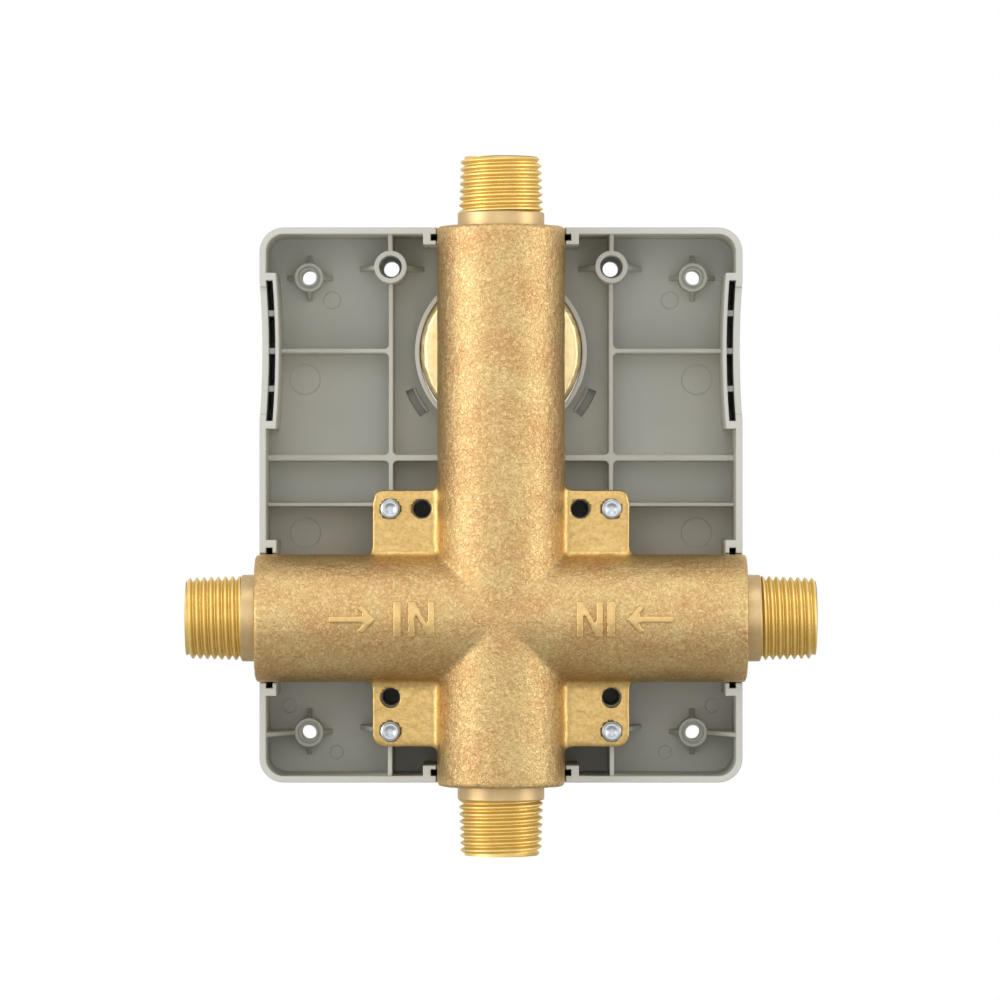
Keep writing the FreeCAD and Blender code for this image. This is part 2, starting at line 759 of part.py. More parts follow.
    # clip slots beside the diverter barrel, each with a raised lip on its inner side
    slot_near = d.clip_slot_radius - d.clip_slot_width / 2
    slot_far = d.clip_slot_radius + d.clip_slot_width / 2
    slots = [curved_strip(side, slot_near, slot_far) for side in (-1, 1)]
    lips = [curved_strip(side, slot_near - d.clip_lip_width, slot_near) for side in (-1, 1)]
    pad(body, on_floor("clip_lips", outlines=lips), d.clip_lip_height)
    pocket(body, on_floor("clip_slots", outlines=slots), d.clip_slot_depth)

    # bores of the bosses
    through = [(x, z, d.fixing_hole_radius) for x, z in fixing]
    through += [(x, z, d.spare_hole_radius) for x, z in spare]
    through += [(x, z, d.screw_boss_hole_radius) for x, z in screws]
    pocket(body, on_front("boss_holes", circles=through))
    rings = [(x, z, radius) for x, z in fixing for radius in (d.fixing_ring_inner, d.fixing_ring_outer)]
    pocket(body, drawn(body, "fixing_rings", "XZ_Plane", 0, circles=rings), d.fixing_ring_depth)
    pocket(body, drawn(body, "spare_counterbores", "XZ_Plane", d.spare_boss_length - FLOOR,
                       circles=[(x, z, d.spare_counterbore_radius) for x, z in spare]),
           d.spare_counterbore_depth)

    # shallow rings left by the ejector pins
    circles = [(across * side, up, radius) for across, up, radius in EJECTOR_MARKS for side in (-1, 1)]
    pocket(body, on_floor("ejector_marks", circles=circles), d.ejector_mark_depth)
    return node("mounting_box", body)


# The brass casting: two crossing tubes, lugs, front barrels and threaded pipe ends, then its bores

def joined(name, pieces):
    fused = doc.addObject("Part::MultiFuse", name)
    fused.Shapes = pieces
    return fused


def cut(name, base, tool):
    result = doc.addObject("Part::Cut", name)
    result.Base = base
    result.Tool = tool
    return result


def block(name, sides, corner):
    """A plain block from its low corner."""
    solid = doc.addObject("Part::Box", name)
    for property_name, value in zip(("Length", "Width", "Height"), sides):
        bind(solid, property_name, value)
    place(solid, corner, LINE_UP)
    return solid


def pipe_end_section():
    """Half section of a pipe end: root in the tube, turned collar, tapered thread as rings, chamfered tip."""
    collar = d.collar_length
    section = [(0, -d.collar_overlap), (d.collar_radius, -d.collar_overlap), (d.collar_radius, collar),
               (d.thread_large_radius, collar)]
    for turn in range(THREAD_TURNS):
        for share, sunk in THREAD_FORM:
            along = d.thread_pitch * (turn + share)
            crest = d.thread_large_radius - d.thread_taper * along
            section.append((crest - d.thread_depth * sunk, collar + along))
    chamfer = d.thread_tip_chamfer
    tip_radius = d.thread_large_radius - d.thread_taper * d.thread_length
    section += [(tip_radius, collar + d.thread_length - chamfer),
                (tip_radius - chamfer, collar + d.thread_length), (0, collar + d.thread_length)]
    return section


def valve_body():
    solid = []
    top = d.cross_z + d.upper_reach
    bottom = d.cross_z - d.lower_reach
    level = cylinder("level_tube", d.tube_radius, d.arm_reach * 2, (-d.arm_reach, d.tube_y, d.cross_z),
                     LINE_RIGHT)
    upright = cylinder("upright_tube", d.tube_radius, top - bottom, (0, d.tube_y, bottom), LINE_UP)
    solid.append(solid_fillet(level, "level_tube_ends", d.tube_end_round,
                              lambda p: near(abs(p.x), d.arm_reach)))
    solid.append(solid_fillet(upright, "upright_tube_ends", d.tube_end_round,
                              lambda p: near(p.z, top) or near(p.z, bottom)))
    ends = (("left", (-d.arm_reach, d.tube_y, d.cross_z), LINE_LEFT),
            ("right", (d.arm_reach, d.tube_y, d.cross_z), LINE_RIGHT),
            ("top", (0, d.tube_y, top), LINE_UP),
            ("bottom", (0, d.tube_y, bottom), LINE_DOWN))
    for name, base, rotation in ends:
        solid.append(turned(f"{name}_pipe_end", pipe_end_section(), base, rotation))

    # lug plate, level with the tubes' axes
    lug = d.lug_half_width
    plate = block("lug_plate", (lug * 2, d.lug_half_thickness * 2, lug * 2),
                  (-lug, d.tube_y - d.lug_half_thickness, d.cross_z - lug))
    solid.append(solid_fillet(plate, "lug_corners", d.lug_corner,
                              lambda p: near(abs(p.x), lug) and near(abs(p.z - d.cross_z.number), lug)))

    # front barrels
    main = cylinder("main_barrel", d.main_barrel_radius, d.main_barrel_front - d.tube_y,
                    (0, d.tube_y, d.cross_z), LINE_FRONT)
    diverter = cylinder("diverter_barrel", d.diverter_barrel_radius,
                        d.diverter_barrel_front - d.diverter_barrel_back,
                        (0, d.diverter_barrel_back, d.diverter_z), LINE_FRONT)
    solid.append(solid_fillet(main, "main_barrel_front_edge", d.barrel_front_round,
                              lambda p: near(p.y, d.main_barrel_front)))
    rounded = solid_fillet(diverter, "diverter_barrel_back_edge", d.barrel_back_round,
                           lambda p: near(p.y, d.diverter_barrel_back))
    solid.append(solid_fillet(rounded, "diverter_barrel_front_edge", d.barrel_front_round,
                              lambda p: near(p.y, d.diverter_barrel_front)))
    for name, side in SIDES:
        solid.append(cylinder(f"{name}_stop_boss", d.stop_boss_radius, d.stop_boss_front - d.tube_y,
                              (d.stop_x * side, d.tube_y, d.cross_z), LINE_FRONT))
    casting = joined("casting", solid)

    bores = []

    def bore_front(name, radius, start, end, across, up):
        bores.append(cylinder(name, radius, end - start, (across, start, up), LINE_FRONT))

    spare_end = d.bore_overrun
    for name, side in SIDES:
        rotation = LINE_RIGHT if side > 0 else LINE_LEFT
        reach = d.arm_reach + d.collar_length + d.thread_length + spare_end
        bores.append(cylinder(f"{name}_inlet_bore", d.outlet_bore_radius, reach - d.inlet_bore_end,
                              (d.inlet_bore_end * side, d.tube_y, d.cross_z), rotation))
        bores.append(cylinder(f"{name}_check_bore", d.check_bore_radius, reach - d.check_bore_end,
                              (d.check_bore_end * side, d.tube_y, d.cross_z), rotation))
        bore_front(f"{name}_inlet_port", d.inlet_port_radius, d.tube_y, d.main_seat + spare_end,
                   d.inlet_port_x * side, d.cross_z)
        bore_front(f"{name}_stop_bore", d.stop_bore_radius, d.stop_bore_back, d.stop_boss_front + spare_end,
                   d.stop_x * side, d.cross_z)
        bore_front(f"{name}_stop_nut_bore", d.stop_nut_bore_radius, d.stop_nut_seat,
                   d.stop_boss_front + spare_end, d.stop_x * side, d.cross_z)
    bore_front("main_bore", d.main_bore_radius, d.main_seat, d.main_barrel_front + spare_end, 0, d.cross_z)
    bore_front("main_nut_bore", d.main_nut_bore_radius, d.main_nut_seat, d.main_barrel_front + spare_end,
               0, d.cross_z)
    bore_front("diverter_bore", d.diverter_bore_radius, d.diverter_seat, d.diverter_barrel_front + spare_end,
               0, d.diverter_z)
    bore_front("diverter_nut_bore", d.diverter_nut_bore_radius, d.diverter_nut_seat,
               d.diverter_barrel_front + spare_end, 0, d.diverter_z)
    bore_front("mixed_port", d.mixed_port_radius, d.front_channel_y, d.main_seat + spare_end,
               0, d.cross_z + d.mixed_port_z)
    port_up = d.diverter_z - d.diverter_port_drop
    bore_front("supply_port", d.diverter_port_radius, d.front_channel_y, d.diverter_seat + spare_end,
               d.diverter_port_x, port_up)
    bore_front("lower_outlet_port", d.diverter_port_radius, d.rear_channel_y, d.diverter_seat + spare_end,
               -d.diverter_port_x, port_up)
    bore_front("upper_outlet_port", d.diverter_port_radius, d.tube_y, d.diverter_seat + spare_end,
               0, d.diverter_z + d.diverter_top_port)
    bores.append(cylinder("front_channel", d.channel_radius, port_up - d.cross_z - d.mixed_port_z,
                          (d.channel_x, d.front_channel_y, d.cross_z + d.mixed_port_z), LINE_UP))
    bores.append(cylinder("rear_channel", d.channel_radius, port_up - d.bottom_channel_end,
                          (-d.channel_x, d.rear_channel_y, d.bottom_channel_end), LINE_UP))
    tip = d.collar_length + d.thread_length + spare_end
    bores.append(cylinder("top_bore", d.outlet_bore_radius, top + tip - d.top_bore_end,
                          (0, d.tube_y, d.top_bore_end), LINE_UP))
    bores.append(cylinder("bottom_bore", d.outlet_bore_radius, d.bottom_bore_end - bottom + tip,
                          (0, d.tube_y, bottom - tip), LINE_UP))
    lug_back = d.tube_y - d.lug_half_thickness - spare_end
    lug_front = d.tube_y + d.lug_half_thickness + spare_end
    for index, (across, up) in enumerate(lug_screw_points()):
        bore_front(f"lug_tapping_{index}", d.lug_tapping_radius, lug_back, lug_front, across, up)
    for index, (across, up) in enumerate(lug_hole_points()):
        bore_front(f"lug_hole_{index}", d.lug_hole_radius, lug_back, lug_front, across, up)
    return node("valve_body", cut("bored_casting", casting, joined("bores", bores)))


# Screws from the front of the box into the lugs

def body_screws():
    tip = d.tube_y - d.lug_half_thickness - d.screw_tip_reach
    shank = d.floor_front - tip
    chamfer = d.screw_tip_chamfer
    section = [(0, 0), (d.screw_radius - chamfer, 0), (d.screw_radius, chamfer), (d.screw_radius, shank),
               (d.screw_head_radius, shank), (d.screw_head_radius, shank + d.screw_head_height / 2),
               (d.screw_head_radius - chamfer, shank + d.screw_head_height), (0, shank + d.screw_head_height)]
    screws = [turned(f"screw_{index}", section, (across, tip, up), LINE_FRONT)
              for index, (across, up) in enumerate(lug_screw_points())]
    group = doc.addObject("Part::Compound", "screw_group")
    group.Links = screws
    return node("body_screws", group)


# The mixing cartridge in the main barrel, stacked from its seat towards the room

def ring_section(inner, outer, low, high):
    return [(inner, low), (outer, low), (outer, high), (inner, high)]


def disc(name, radius, height, base):
    """A flat disc about a front axis, from the centre of its rear face."""
    return turned(name, [(0, 0), (radius, 0), (radius, height), (0, height)], base, LINE_FRONT)


def drilled(name, base, holes):
    """A piece with round holes along its front axis: (radius, across, up, start, end)."""
    tools = [cylinder(f"{name}_hole_{index}", radius, end - start, (across, start, up), LINE_FRONT)
             for index, (radius, across, up, start, end) in enumerate(holes)]
    return cut(f"{name}_drilled", base, joined(f"{name}_holes", tools))


def mixing_cartridge():
    seat = d.main_seat
    centre = d.cross_z
    seal_top = seat + d.base_seal_thickness
    base_top = seal_top + d.mixing_base_height
    disc_top = base_top + d.mixing_disc_height
    moving_low = disc_top + d.disc_gap
    moving_top = moving_low + d.moving_disc_height
    flange_top = moving_top + d.drive_flange_height
    roof_low = flange_top + d.flange_gap
    roof_top = roof_low + d.housing_roof
    neck_top = roof_top + d.mixing_neck
    over = d.bore_overrun
    hot_cold = [(d.inlet_port_radius, d.inlet_port_x * side, centre) for side in (-1, 1)]
    mixed = (d.mixed_port_radius, as_size(0), centre + d.mixed_port_z)

    seal = disc("mixing_seal_blank", d.base_seal_radius, d.base_seal_thickness, (0, seat, centre))
    node("mixing_base_seal", drilled("mixing_seal", seal, [
        (radius, x, z, seat - over, seal_top + over) for radius, x, z in hot_cold + [mixed]]))

    base = disc("mixing_base_blank", d.cartridge_radius, d.mixing_base_height, (0, seal_top, centre))
    spool_y = seal_top + d.mixing_base_height / 2
    base = drilled("mixing_base", base, [(radius, x, z, seal_top - over, base_top + over)
                                         for radius, x, z in hot_cold + [mixed]])
    sleeve_bore = cylinder("sleeve_bore", d.sleeve_radius, d.cartridge_radius + d.sleeve_length / 2 + over,
                           (-d.cartridge_radius - over, spool_y, centre), LINE_RIGHT)
    node("mixing_cartridge_base", cut("mixing_base_bored", base, sleeve_bore))

    sleeve = turned("balance_sleeve_tube", ring_section(d.spool_radius + d.running_gap, d.sleeve_radius,
                                                        0, d.sleeve_length),
                    (-d.sleeve_length / 2, spool_y, centre), LINE_RIGHT)
    node("balance_sleeve", drilled("balance_sleeve", sleeve, [
        (d.sleeve_port_radius, d.inlet_port_x * side, centre, spool_y - d.sleeve_radius - over,
         spool_y + d.sleeve_radius + over) for side in (-1, 1)]))
    land = d.spool_land
    groove = d.spool_length - land * 2
    spool = [(0, 0), (d.spool_radius, 0), (d.spool_radius, land), (d.spool_groove_radius, land),
             (d.spool_groove_radius, land + groove), (d.spool_radius, land + groove),
             (d.spool_radius, d.spool_length), (0, d.spool_length)]
    node("balance_spool", turned("balance_spool_turned", spool, (-d.spool_length / 2, spool_y, centre),
                                 LINE_RIGHT))

    fixed = disc("mixing_fixed_blank", d.mixing_disc_radius, d.mixing_disc_height, (0, base_top, centre))
    node("mixing_fixed_disc", drilled("mixing_fixed", fixed, [
        (radius, x, z, base_top - over, disc_top + over) for radius, x, z in hot_cold + [mixed]]))

    moving = disc("mixing_moving_blank", d.moving_disc_radius, d.moving_disc_height, (0, moving_low, centre))
    chamber = cylinder("mixing_chamber", d.mixing_chamber_radius, d.moving_disc_height / 2 + over,
                       (0, moving_low - over, centre + d.mixing_chamber_offset), LINE_FRONT)
    tang_slot = (d.drive_slot_length, d.drive_slot_width, d.drive_slot_depth)
    slot = drive_slot("mixing", *tang_slot, moving_top, centre)
    node("mixing_moving_disc", cut("mixing_moving_cut", moving, joined("mixing_moving_tools", [chamber, slot])))
    node("mixing_spindle", splined_spindle(
        "mixing", (0, moving_top, centre), d.drive_flange_radius, d.mixing_shaft_radius, d.mixing_spline_radius,
        neck_top + d.mixing_shaft_reach - moving_top, tang_slot))

    housing = [(d.housing_cavity_radius, 0), (d.cartridge_radius, 0), (d.cartridge_radius, roof_top - base_top),
               (d.mixing_neck_radius, roof_top - base_top), (d.mixing_neck_radius, neck_top - base_top),
               (d.mixing_shaft_radius + d.running_gap, neck_top - base_top),
               (d.mixing_shaft_radius + d.running_gap, roof_low - base_top),
               (d.housing_cavity_radius, roof_low - base_top)]
    node("mixing_cartridge_housing", turned("mixing_housing_turned", housing, (0, base_top, centre),
                                            LINE_FRONT))
    node("mixing_retaining_nut", retaining_nut(
        "mixing", (0, roof_top, centre), d.main_barrel_front - roof_top, d.mixing_neck_radius + d.nut_gap,
        d.main_nut_bore_radius, d.mixing_nut_counterbore, d.mixing_nut_across_corners))
    ring_low = d.main_barrel_front + d.limit_ring_lift
    section = ring_section(d.mixing_neck_radius, d.limit_ring_radius, 0, d.limit_ring_height)
    ring = turned("limit_ring_turned", section, (0, ring_low, centre), LINE_FRONT)
    lug = block("limit_ring_lug", (d.limit_lug_width, d.limit_ring_height, d.limit_lug_reach),
                (-d.limit_lug_width / 2, ring_low, centre + d.limit_ring_radius - d.limit_lug_reach / 2))
    node("temperature_limit_ring", joined("limit_ring", [ring, lug]))


def drive_slot(name, length, width, depth, top, centre):
    """The slot in the front of a moving disc that its spindle's tang sits in."""
    return block(f"{name}_drive_slot", (length, depth + d.bore_overrun, width),
                 (-length / 2, top - depth, centre - width / 2))


def splined_spindle(name, base, flange_radius, shaft_radius, spline_radius, shaft_length, slot):
    """A turned spindle: drive flange with a tang under it, shaft, and a splined end for the handle."""
    body = doc.addObject("PartDesign::Body", f"{name}_spindle_body")
    flange = d.drive_flange_height
    tip = shaft_length + d.spline_length
    section = [(0, 0), (flange_radius, 0), (flange_radius, flange), (shaft_radius, flange),
               (shaft_radius, shaft_length), (spline_radius, shaft_length),
               (spline_radius, tip - d.tip_chamfer), (spline_radius - d.tip_chamfer, tip), (0, tip)]
    sketch = drawn(body, f"{name}_spindle_section", "XZ_Plane", 0, outlines=[section])
    feature = body.newObject("PartDesign::Revolution", f"{name}_spindle_turned")
    feature.Profile = sketch
    feature.ReferenceAxis = (sketch, ["V_Axis"])
    feature.Angle = 360
    length, width, depth = slot
    across = length / 2 - d.drive_tang_gap
    up = width / 2 - d.drive_tang_gap
    tang = drawn(body, f"{name}_tang", "XY_Plane", 0, outlines=[rectangle(-across, -up, across, up)])
    pad(body, tang, depth - d.drive_tang_gap, forward=True)
    half = d.spline_groove_width / 2
    groove = drawn(body, f"{name}_spline_groove", "XY_Plane", shaft_length, outlines=[
        rectangle(spline_radius - d.spline_groove_depth, -half, spline_radius + d.spline_groove_depth, half)])
    first = body.newObject("PartDesign::Pocket", f"{name}_spline_cut")
    first.Profile = groove
    first.Type = "ThroughAll"
    first.Reversed = True
    doc.recompute()
    ring = body.newObject("PartDesign::PolarPattern", f"{name}_splines")
    ring.Originals = [first]
    ring.Axis = (origin_feature(body, "Z_Axis"), [""])
    ring.Angle = 360
    ring.Occurrences = SPLINE_COUNT
    body.Tip = ring
    place(body, base, LINE_FRONT)
    return body


def retaining_nut(name, base, thread_length, bore, thread_radius, counterbore, across_corners):
    """A ring nut: threaded skirt inside the barrel and a hexagon flange against the barrel's front."""
    body = doc.addObject("PartDesign::Body", f"{name}_nut_body")
    flange = d.nut_flange_height
    skirt = drawn(body, f"{name}_nut_skirt", "XY_Plane", 0, circles=[(0, 0, thread_radius - d.running_gap)])
    pad(body, skirt, thread_length)
    pad(body, drawn(body, f"{name}_nut_hexagon", "XY_Plane", thread_length, outlines=[hexagon(across_corners)]),
        flange)
    pocket(body, drawn(body, f"{name}_nut_bore", "XY_Plane", 0, circles=[(0, 0, bore)]))
    pocket(body, drawn(body, f"{name}_nut_counterbore", "XY_Plane", thread_length + flange,
                       circles=[(0, 0, counterbore)]), flange)
    place(body, base, LINE_FRONT)
    return body


# The diverter cartridge in the upper barrel

def diverter_cartridge():
    seat = d.diverter_seat
    centre = d.diverter_z
    over = d.bore_overrun
    seal_top = seat + d.base_seal_thickness
    disc_top = seal_top + d.diverter_disc_height
    moving_low = disc_top + d.disc_gap
    moving_top = moving_low + d.diverter_disc_height
    flange_top = moving_top + d.drive_flange_height
    roof_low = flange_top + d.flange_gap
    roof_top = roof_low + d.housing_roof
    neck_top = roof_top + d.diverter_neck
    port_up = centre - d.diverter_port_drop
    ports = [(d.diverter_port_radius, d.diverter_port_x, port_up),
             (d.diverter_port_radius, -d.diverter_port_x, port_up),
             (d.diverter_port_radius, as_size(0), centre + d.diverter_top_port)]

    seal = disc("diverter_seal_blank", d.diverter_seal_radius, d.base_seal_thickness, (0, seat, centre))
    node("diverter_base_seal", drilled("diverter_seal", seal, [
        (radius, x, z, seat - over, seal_top + over) for radius, x, z in ports]))
    fixed = disc("diverter_fixed_blank", d.diverter_disc_radius, d.diverter_disc_height, (0, seal_top, centre))
    node("diverter_fixed_disc", drilled("diverter_fixed", fixed, [
        (radius, x, z, seal_top - over, disc_top + over) for radius, x, z in ports]))
    moving = disc("diverter_moving_blank", d.diverter_moving_radius, d.diverter_disc_height,
                  (0, moving_low, centre))
    chamber = cylinder("diverter_chamber", d.diverter_chamber_radius, d.diverter_disc_height / 2 + over,
                       (0, moving_low - over, centre - d.diverter_chamber_offset), LINE_FRONT)
    tang_slot = (d.diverter_slot_length, d.diverter_slot_width, d.diverter_slot_depth)
    slot = drive_slot("diverter", *tang_slot, moving_top, centre)
    tools = joined("diverter_moving_tools", [chamber, slot])
    node("diverter_moving_disc", cut("diverter_moving_cut", moving, tools))
    node("diverter_spindle", splined_spindle(
        "diverter", (0, moving_top, centre), d.diverter_flange_radius, d.diverter_shaft_radius,
        d.diverter_spline_radius, neck_top + d.diverter_shaft_reach - moving_top, tang_slot))

    housing = [(d.diverter_cavity_radius, 0), (d.diverter_cartridge_radius, 0),
               (d.diverter_cartridge_radius, roof_top - seal_top),
               (d.diverter_neck_radius, roof_top - seal_top), (d.diverter_neck_radius, neck_top - seal_top),
               (d.diverter_shaft_radius + d.running_gap, neck_top - seal_top),
               (d.diverter_shaft_radius + d.running_gap, roof_low - seal_top),
               (d.diverter_cavity_radius, roof_low - seal_top)]
    node("diverter_housing", turned("diverter_housing_turned", housing, (0, seal_top, centre), LINE_FRONT))
    node("diverter_retaining_nut", retaining_nut(
        "diverter", (0, roof_top, centre), d.diverter_barrel_front - roof_top,
        d.diverter_neck_radius + d.nut_gap, d.diverter_nut_bore_radius, d.diverter_nut_counterbore,
        d.diverter_nut_across_corners))


# Service stops and check valves, one of each in both inlet arms

def service_stop(name, side):
    back = d.stop_bore_back + d.running_gap * 2
    centre = (d.stop_x * side, back, d.cross_z)
    shoulder = d.stop_shoulder - back
    stem_end = d.stop_stem_front - back
    section = [(0, 0), (d.stop_plug_radius, 0), (d.stop_plug_radius, shoulder), (d.stop_stem_radius, shoulder),
               (d.stop_stem_radius, stem_end), (0, stem_end)]
    plug = turned(f"{name}_plug_turned", section, centre, LINE_FRONT)
    way = cylinder(f"{name}_plug_way", d.stop_way_radius, d.stop_plug_radius * 4,
                   (d.stop_x * side - d.stop_plug_radius * 2, d.tube_y, d.cross_z), LINE_RIGHT)
    slot = block(f"{name}_plug_slot", (d.stop_stem_radius * 4, d.stop_slot_depth * 2, d.stop_slot_width),
                 (d.stop_x * side - d.stop_stem_radius * 2, d.stop_stem_front - d.stop_slot_depth,
                  d.cross_z - d.stop_slot_width / 2))
    node(f"{name}_stop_plug", cut(f"{name}_plug_cut", plug, joined(f"{name}_plug_tools", [way, slot])))

    seal = ring_section(d.stop_stem_radius + d.running_gap, d.stop_bore_radius, 0, d.stop_seal_height)
    node(f"{name}_stop_seal_ring", turned(f"{name}_seal_turned", seal,
                                          (d.stop_x * side, d.stop_nut_seat - d.stop_seal_height, d.cross_z),
                                          LINE_FRONT))
    body = doc.addObject("PartDesign::Body", f"{name}_gland_body")
    skirt = d.stop_boss_front - d.stop_nut_seat
    outer = (0, 0, d.stop_nut_bore_radius - d.running_gap)
    inner = (0, 0, d.stop_stem_radius + d.running_gap)
    pad(body, drawn(body, f"{name}_gland_skirt", "XY_Plane", 0, circles=[outer]), skirt)
    pad(body, drawn(body, f"{name}_gland_hexagon", "XY_Plane", skirt,
                    outlines=[hexagon(d.gland_across_corners)]), d.gland_head)
    pocket(body, drawn(body, f"{name}_gland_bore", "XY_Plane", 0, circles=[inner]))
    place(body, (d.stop_x * side, d.stop_nut_seat, d.cross_z), LINE_FRONT)
    node(f"{name}_stop_gland_nut", body)


def check_valve(name, side):
    rotation = LINE_RIGHT if side > 0 else LINE_LEFT
    base = (d.check_bore_end * side, d.tube_y, d.cross_z)
    guide = d.check_guide_thickness
    length = d.check_length
    seat = length - d.check_seat_thickness
    outer = d.check_bore_radius - d.check_fit_gap
    section = [(d.check_guide_hole, 0), (outer, 0), (outer, length), (d.check_seat_radius, length),
               (d.check_seat_radius, seat), (d.check_inner_radius, seat), (d.check_inner_radius, guide),
               (d.check_guide_hole, guide)]
    housing = turned(f"{name}_check_turned", section, base, rotation)
    flows = []
    start = (d.check_bore_end - d.bore_overrun) * side
    ring = d.check_flow_ring
    for index, (across, up) in enumerate(((0, 1), (0, -1), (1, 0), (-1, 0))):
        flows.append(cylinder(f"{name}_check_flow_{index}", d.check_flow_radius, guide + d.bore_overrun * 2,
                              (start, d.tube_y + ring * across, d.cross_z + ring * up), rotation))
    node(f"{name}_check_valve_housing", cut(f"{name}_check_cut", housing, joined(f"{name}_check_flows", flows)))

    disc_top = seat - d.disc_gap
    disc_low = disc_top - d.poppet_thickness
    stem_low = d.poppet_stem_end
    poppet = [(0, stem_low), (d.poppet_stem_radius, stem_low), (d.poppet_stem_radius, disc_low),
              (d.poppet_radius, disc_low), (d.poppet_radius, disc_top), (d.poppet_nose_radius, disc_top),
              (0, disc_top + d.poppet_nose_height)]
    node(f"{name}_check_valve_poppet", turned(f"{name}_poppet_turned", poppet, base, rotation))

    coil_radius = d.spring_radius
    helix = doc.addObject("Part::Helix", f"{name}_spring_line")
    span = disc_low - guide - d.spring_wire_radius * 2 - d.disc_gap * 2
    bind(helix, "Height", span)
    bind(helix, "Pitch", span / SPRING_TURNS)
    bind(helix, "Radius", coil_radius)
    wire = doc.addObject("Part::Circle", f"{name}_spring_wire")
    bind(wire, "Radius", d.spring_wire_radius)
    wire.Placement = FreeCAD.Placement(FreeCAD.Vector(coil_radius.number, 0, 0),
                                       FreeCAD.Rotation(FreeCAD.Vector(1, 0, 0), 90))
    bind(wire, "Placement.Base.x", coil_radius)
    doc.recompute()
    sweep = doc.addObject("Part::Sweep", f"{name}_spring_sweep")
    sweep.Sections = [wire]
    sweep.Spine = (helix, ["Edge1"])
    sweep.Solid = True
    sweep.Frenet = True
    start = (d.check_bore_end + guide + d.spring_wire_radius + d.disc_gap) * side
    place(sweep, (start, d.tube_y, d.cross_z), rotation)
    node(f"{name}_check_valve_spring", sweep)


mounting_box()
valve_body()
body_screws()
mixing_cartridge()
diverter_cartridge()
for side_name, direction in SIDES:
    service_stop(side_name, direction)
    check_valve(side_name, direction)

doc.recompute()
failed = [item.Name for item in doc.Objects if "Invalid" in item.State or "Error" in item.State]
if failed:
    raise RuntimeError(f"failed: {failed}")
for label, item in nodes.items():
    if item.Shape.isNull() or not item.Shape.isValid():
        raise RuntimeError(f"bad shape: {label}")
os.makedirs("parts", exist_ok=True)
for label, item in nodes.items():
    item.Shape.exportStep(f"parts/{label}.step")
    print(label, round(item.Shape.Volume, 1), len(item.Shape.Solids))
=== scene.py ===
import math

import bmesh
import bpy
from mathutils import Matrix, Vector


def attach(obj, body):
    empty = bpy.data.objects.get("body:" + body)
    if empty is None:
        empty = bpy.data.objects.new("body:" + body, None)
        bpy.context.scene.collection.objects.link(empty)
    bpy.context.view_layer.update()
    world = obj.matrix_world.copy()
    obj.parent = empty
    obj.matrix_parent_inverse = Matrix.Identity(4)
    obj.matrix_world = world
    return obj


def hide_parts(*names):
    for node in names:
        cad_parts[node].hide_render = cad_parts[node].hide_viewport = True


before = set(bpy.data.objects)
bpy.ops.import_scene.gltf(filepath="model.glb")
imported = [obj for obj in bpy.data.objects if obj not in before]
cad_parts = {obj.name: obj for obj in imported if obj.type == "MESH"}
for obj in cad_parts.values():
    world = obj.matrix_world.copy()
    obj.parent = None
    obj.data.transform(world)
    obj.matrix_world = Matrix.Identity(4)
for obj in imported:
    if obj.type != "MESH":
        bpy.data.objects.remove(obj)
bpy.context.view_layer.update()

# Mounting box: one injection moulding in grey ABS, open at the back. Its outside came from a spark-eroded
# tool, so it is matt, and its edges are only as sharp as the tool's.
MM = 0.001


def linear(code):
    """An sRGB hex colour as the linear values that a shader takes."""
    channels = [int(code[i:i + 2], 16) / 255 for i in (1, 3, 5)]
    return (*[c / 12.92 if c <= 0.04045 else ((c + 0.055) / 1.055) ** 2.4 for c in channels], 1.0)


def add_node(tree, kind, inputs, **settings):
    """Adds a node. Inputs are socket values, or the sockets that feed them; settings are its properties."""
    node = tree.nodes.new(kind)
    for name, value in settings.items():
        setattr(node, name, value)
    for name, value in inputs.items():
        if isinstance(value, bpy.types.NodeSocket):
            tree.links.new(value, node.inputs[name])
        else:
            node.inputs[name].default_value = value
    return node


def new_finish(name):
    """A new material with its node tree, its shader and the surface's own coordinates in metres."""
    material = bpy.data.materials.new(name)
    material.use_nodes = True
    tree = material.node_tree
    place = tree.nodes.new("ShaderNodeTexCoord").outputs["Object"]
    return material, tree, tree.nodes["Principled BSDF"], place


def dress(material, *nodes):
    """Gives CAD nodes one material."""
    for name in nodes:
        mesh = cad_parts[name].data
        mesh.materials.clear()
        mesh.materials.append(material)


# ABS, moulded: a matt skin with a fine even grain and faint cloudy flow marks. Its edges catch a soft line
# of light from their small radius.
moulded_abs, tree, shader, place = new_finish("moulded_grey_abs")
flow = add_node(tree, "ShaderNodeTexNoise", {"Vector": place, "Scale": 1 / (22 * MM), "Detail": 3.0})
tone = add_node(tree, "ShaderNodeMix", {0: flow.outputs["Fac"], 6: linear("#C6C7BE"), 7: linear("#D3D3CB")},
                data_type="RGBA")
grain = add_node(tree, "ShaderNodeTexNoise", {"Vector": place, "Scale": 1 / (0.5 * MM), "Detail": 2.0})
edge = add_node(tree, "ShaderNodeBevel", {"Radius": 0.5 * MM}, samples=4)
skin = add_node(tree, "ShaderNodeBump", {"Strength": 0.25, "Distance": 0.03 * MM,
                                         "Height": grain.outputs["Fac"], "Normal": edge.outputs["Normal"]})
tree.links.new(tone.outputs[2], shader.inputs["Base Color"])
tree.links.new(skin.outputs["Normal"], shader.inputs["Normal"])
shader.inputs["Roughness"].default_value = 0.55
shader.inputs["IOR"].default_value = 1.53
dress(moulded_abs, "mounting_box")

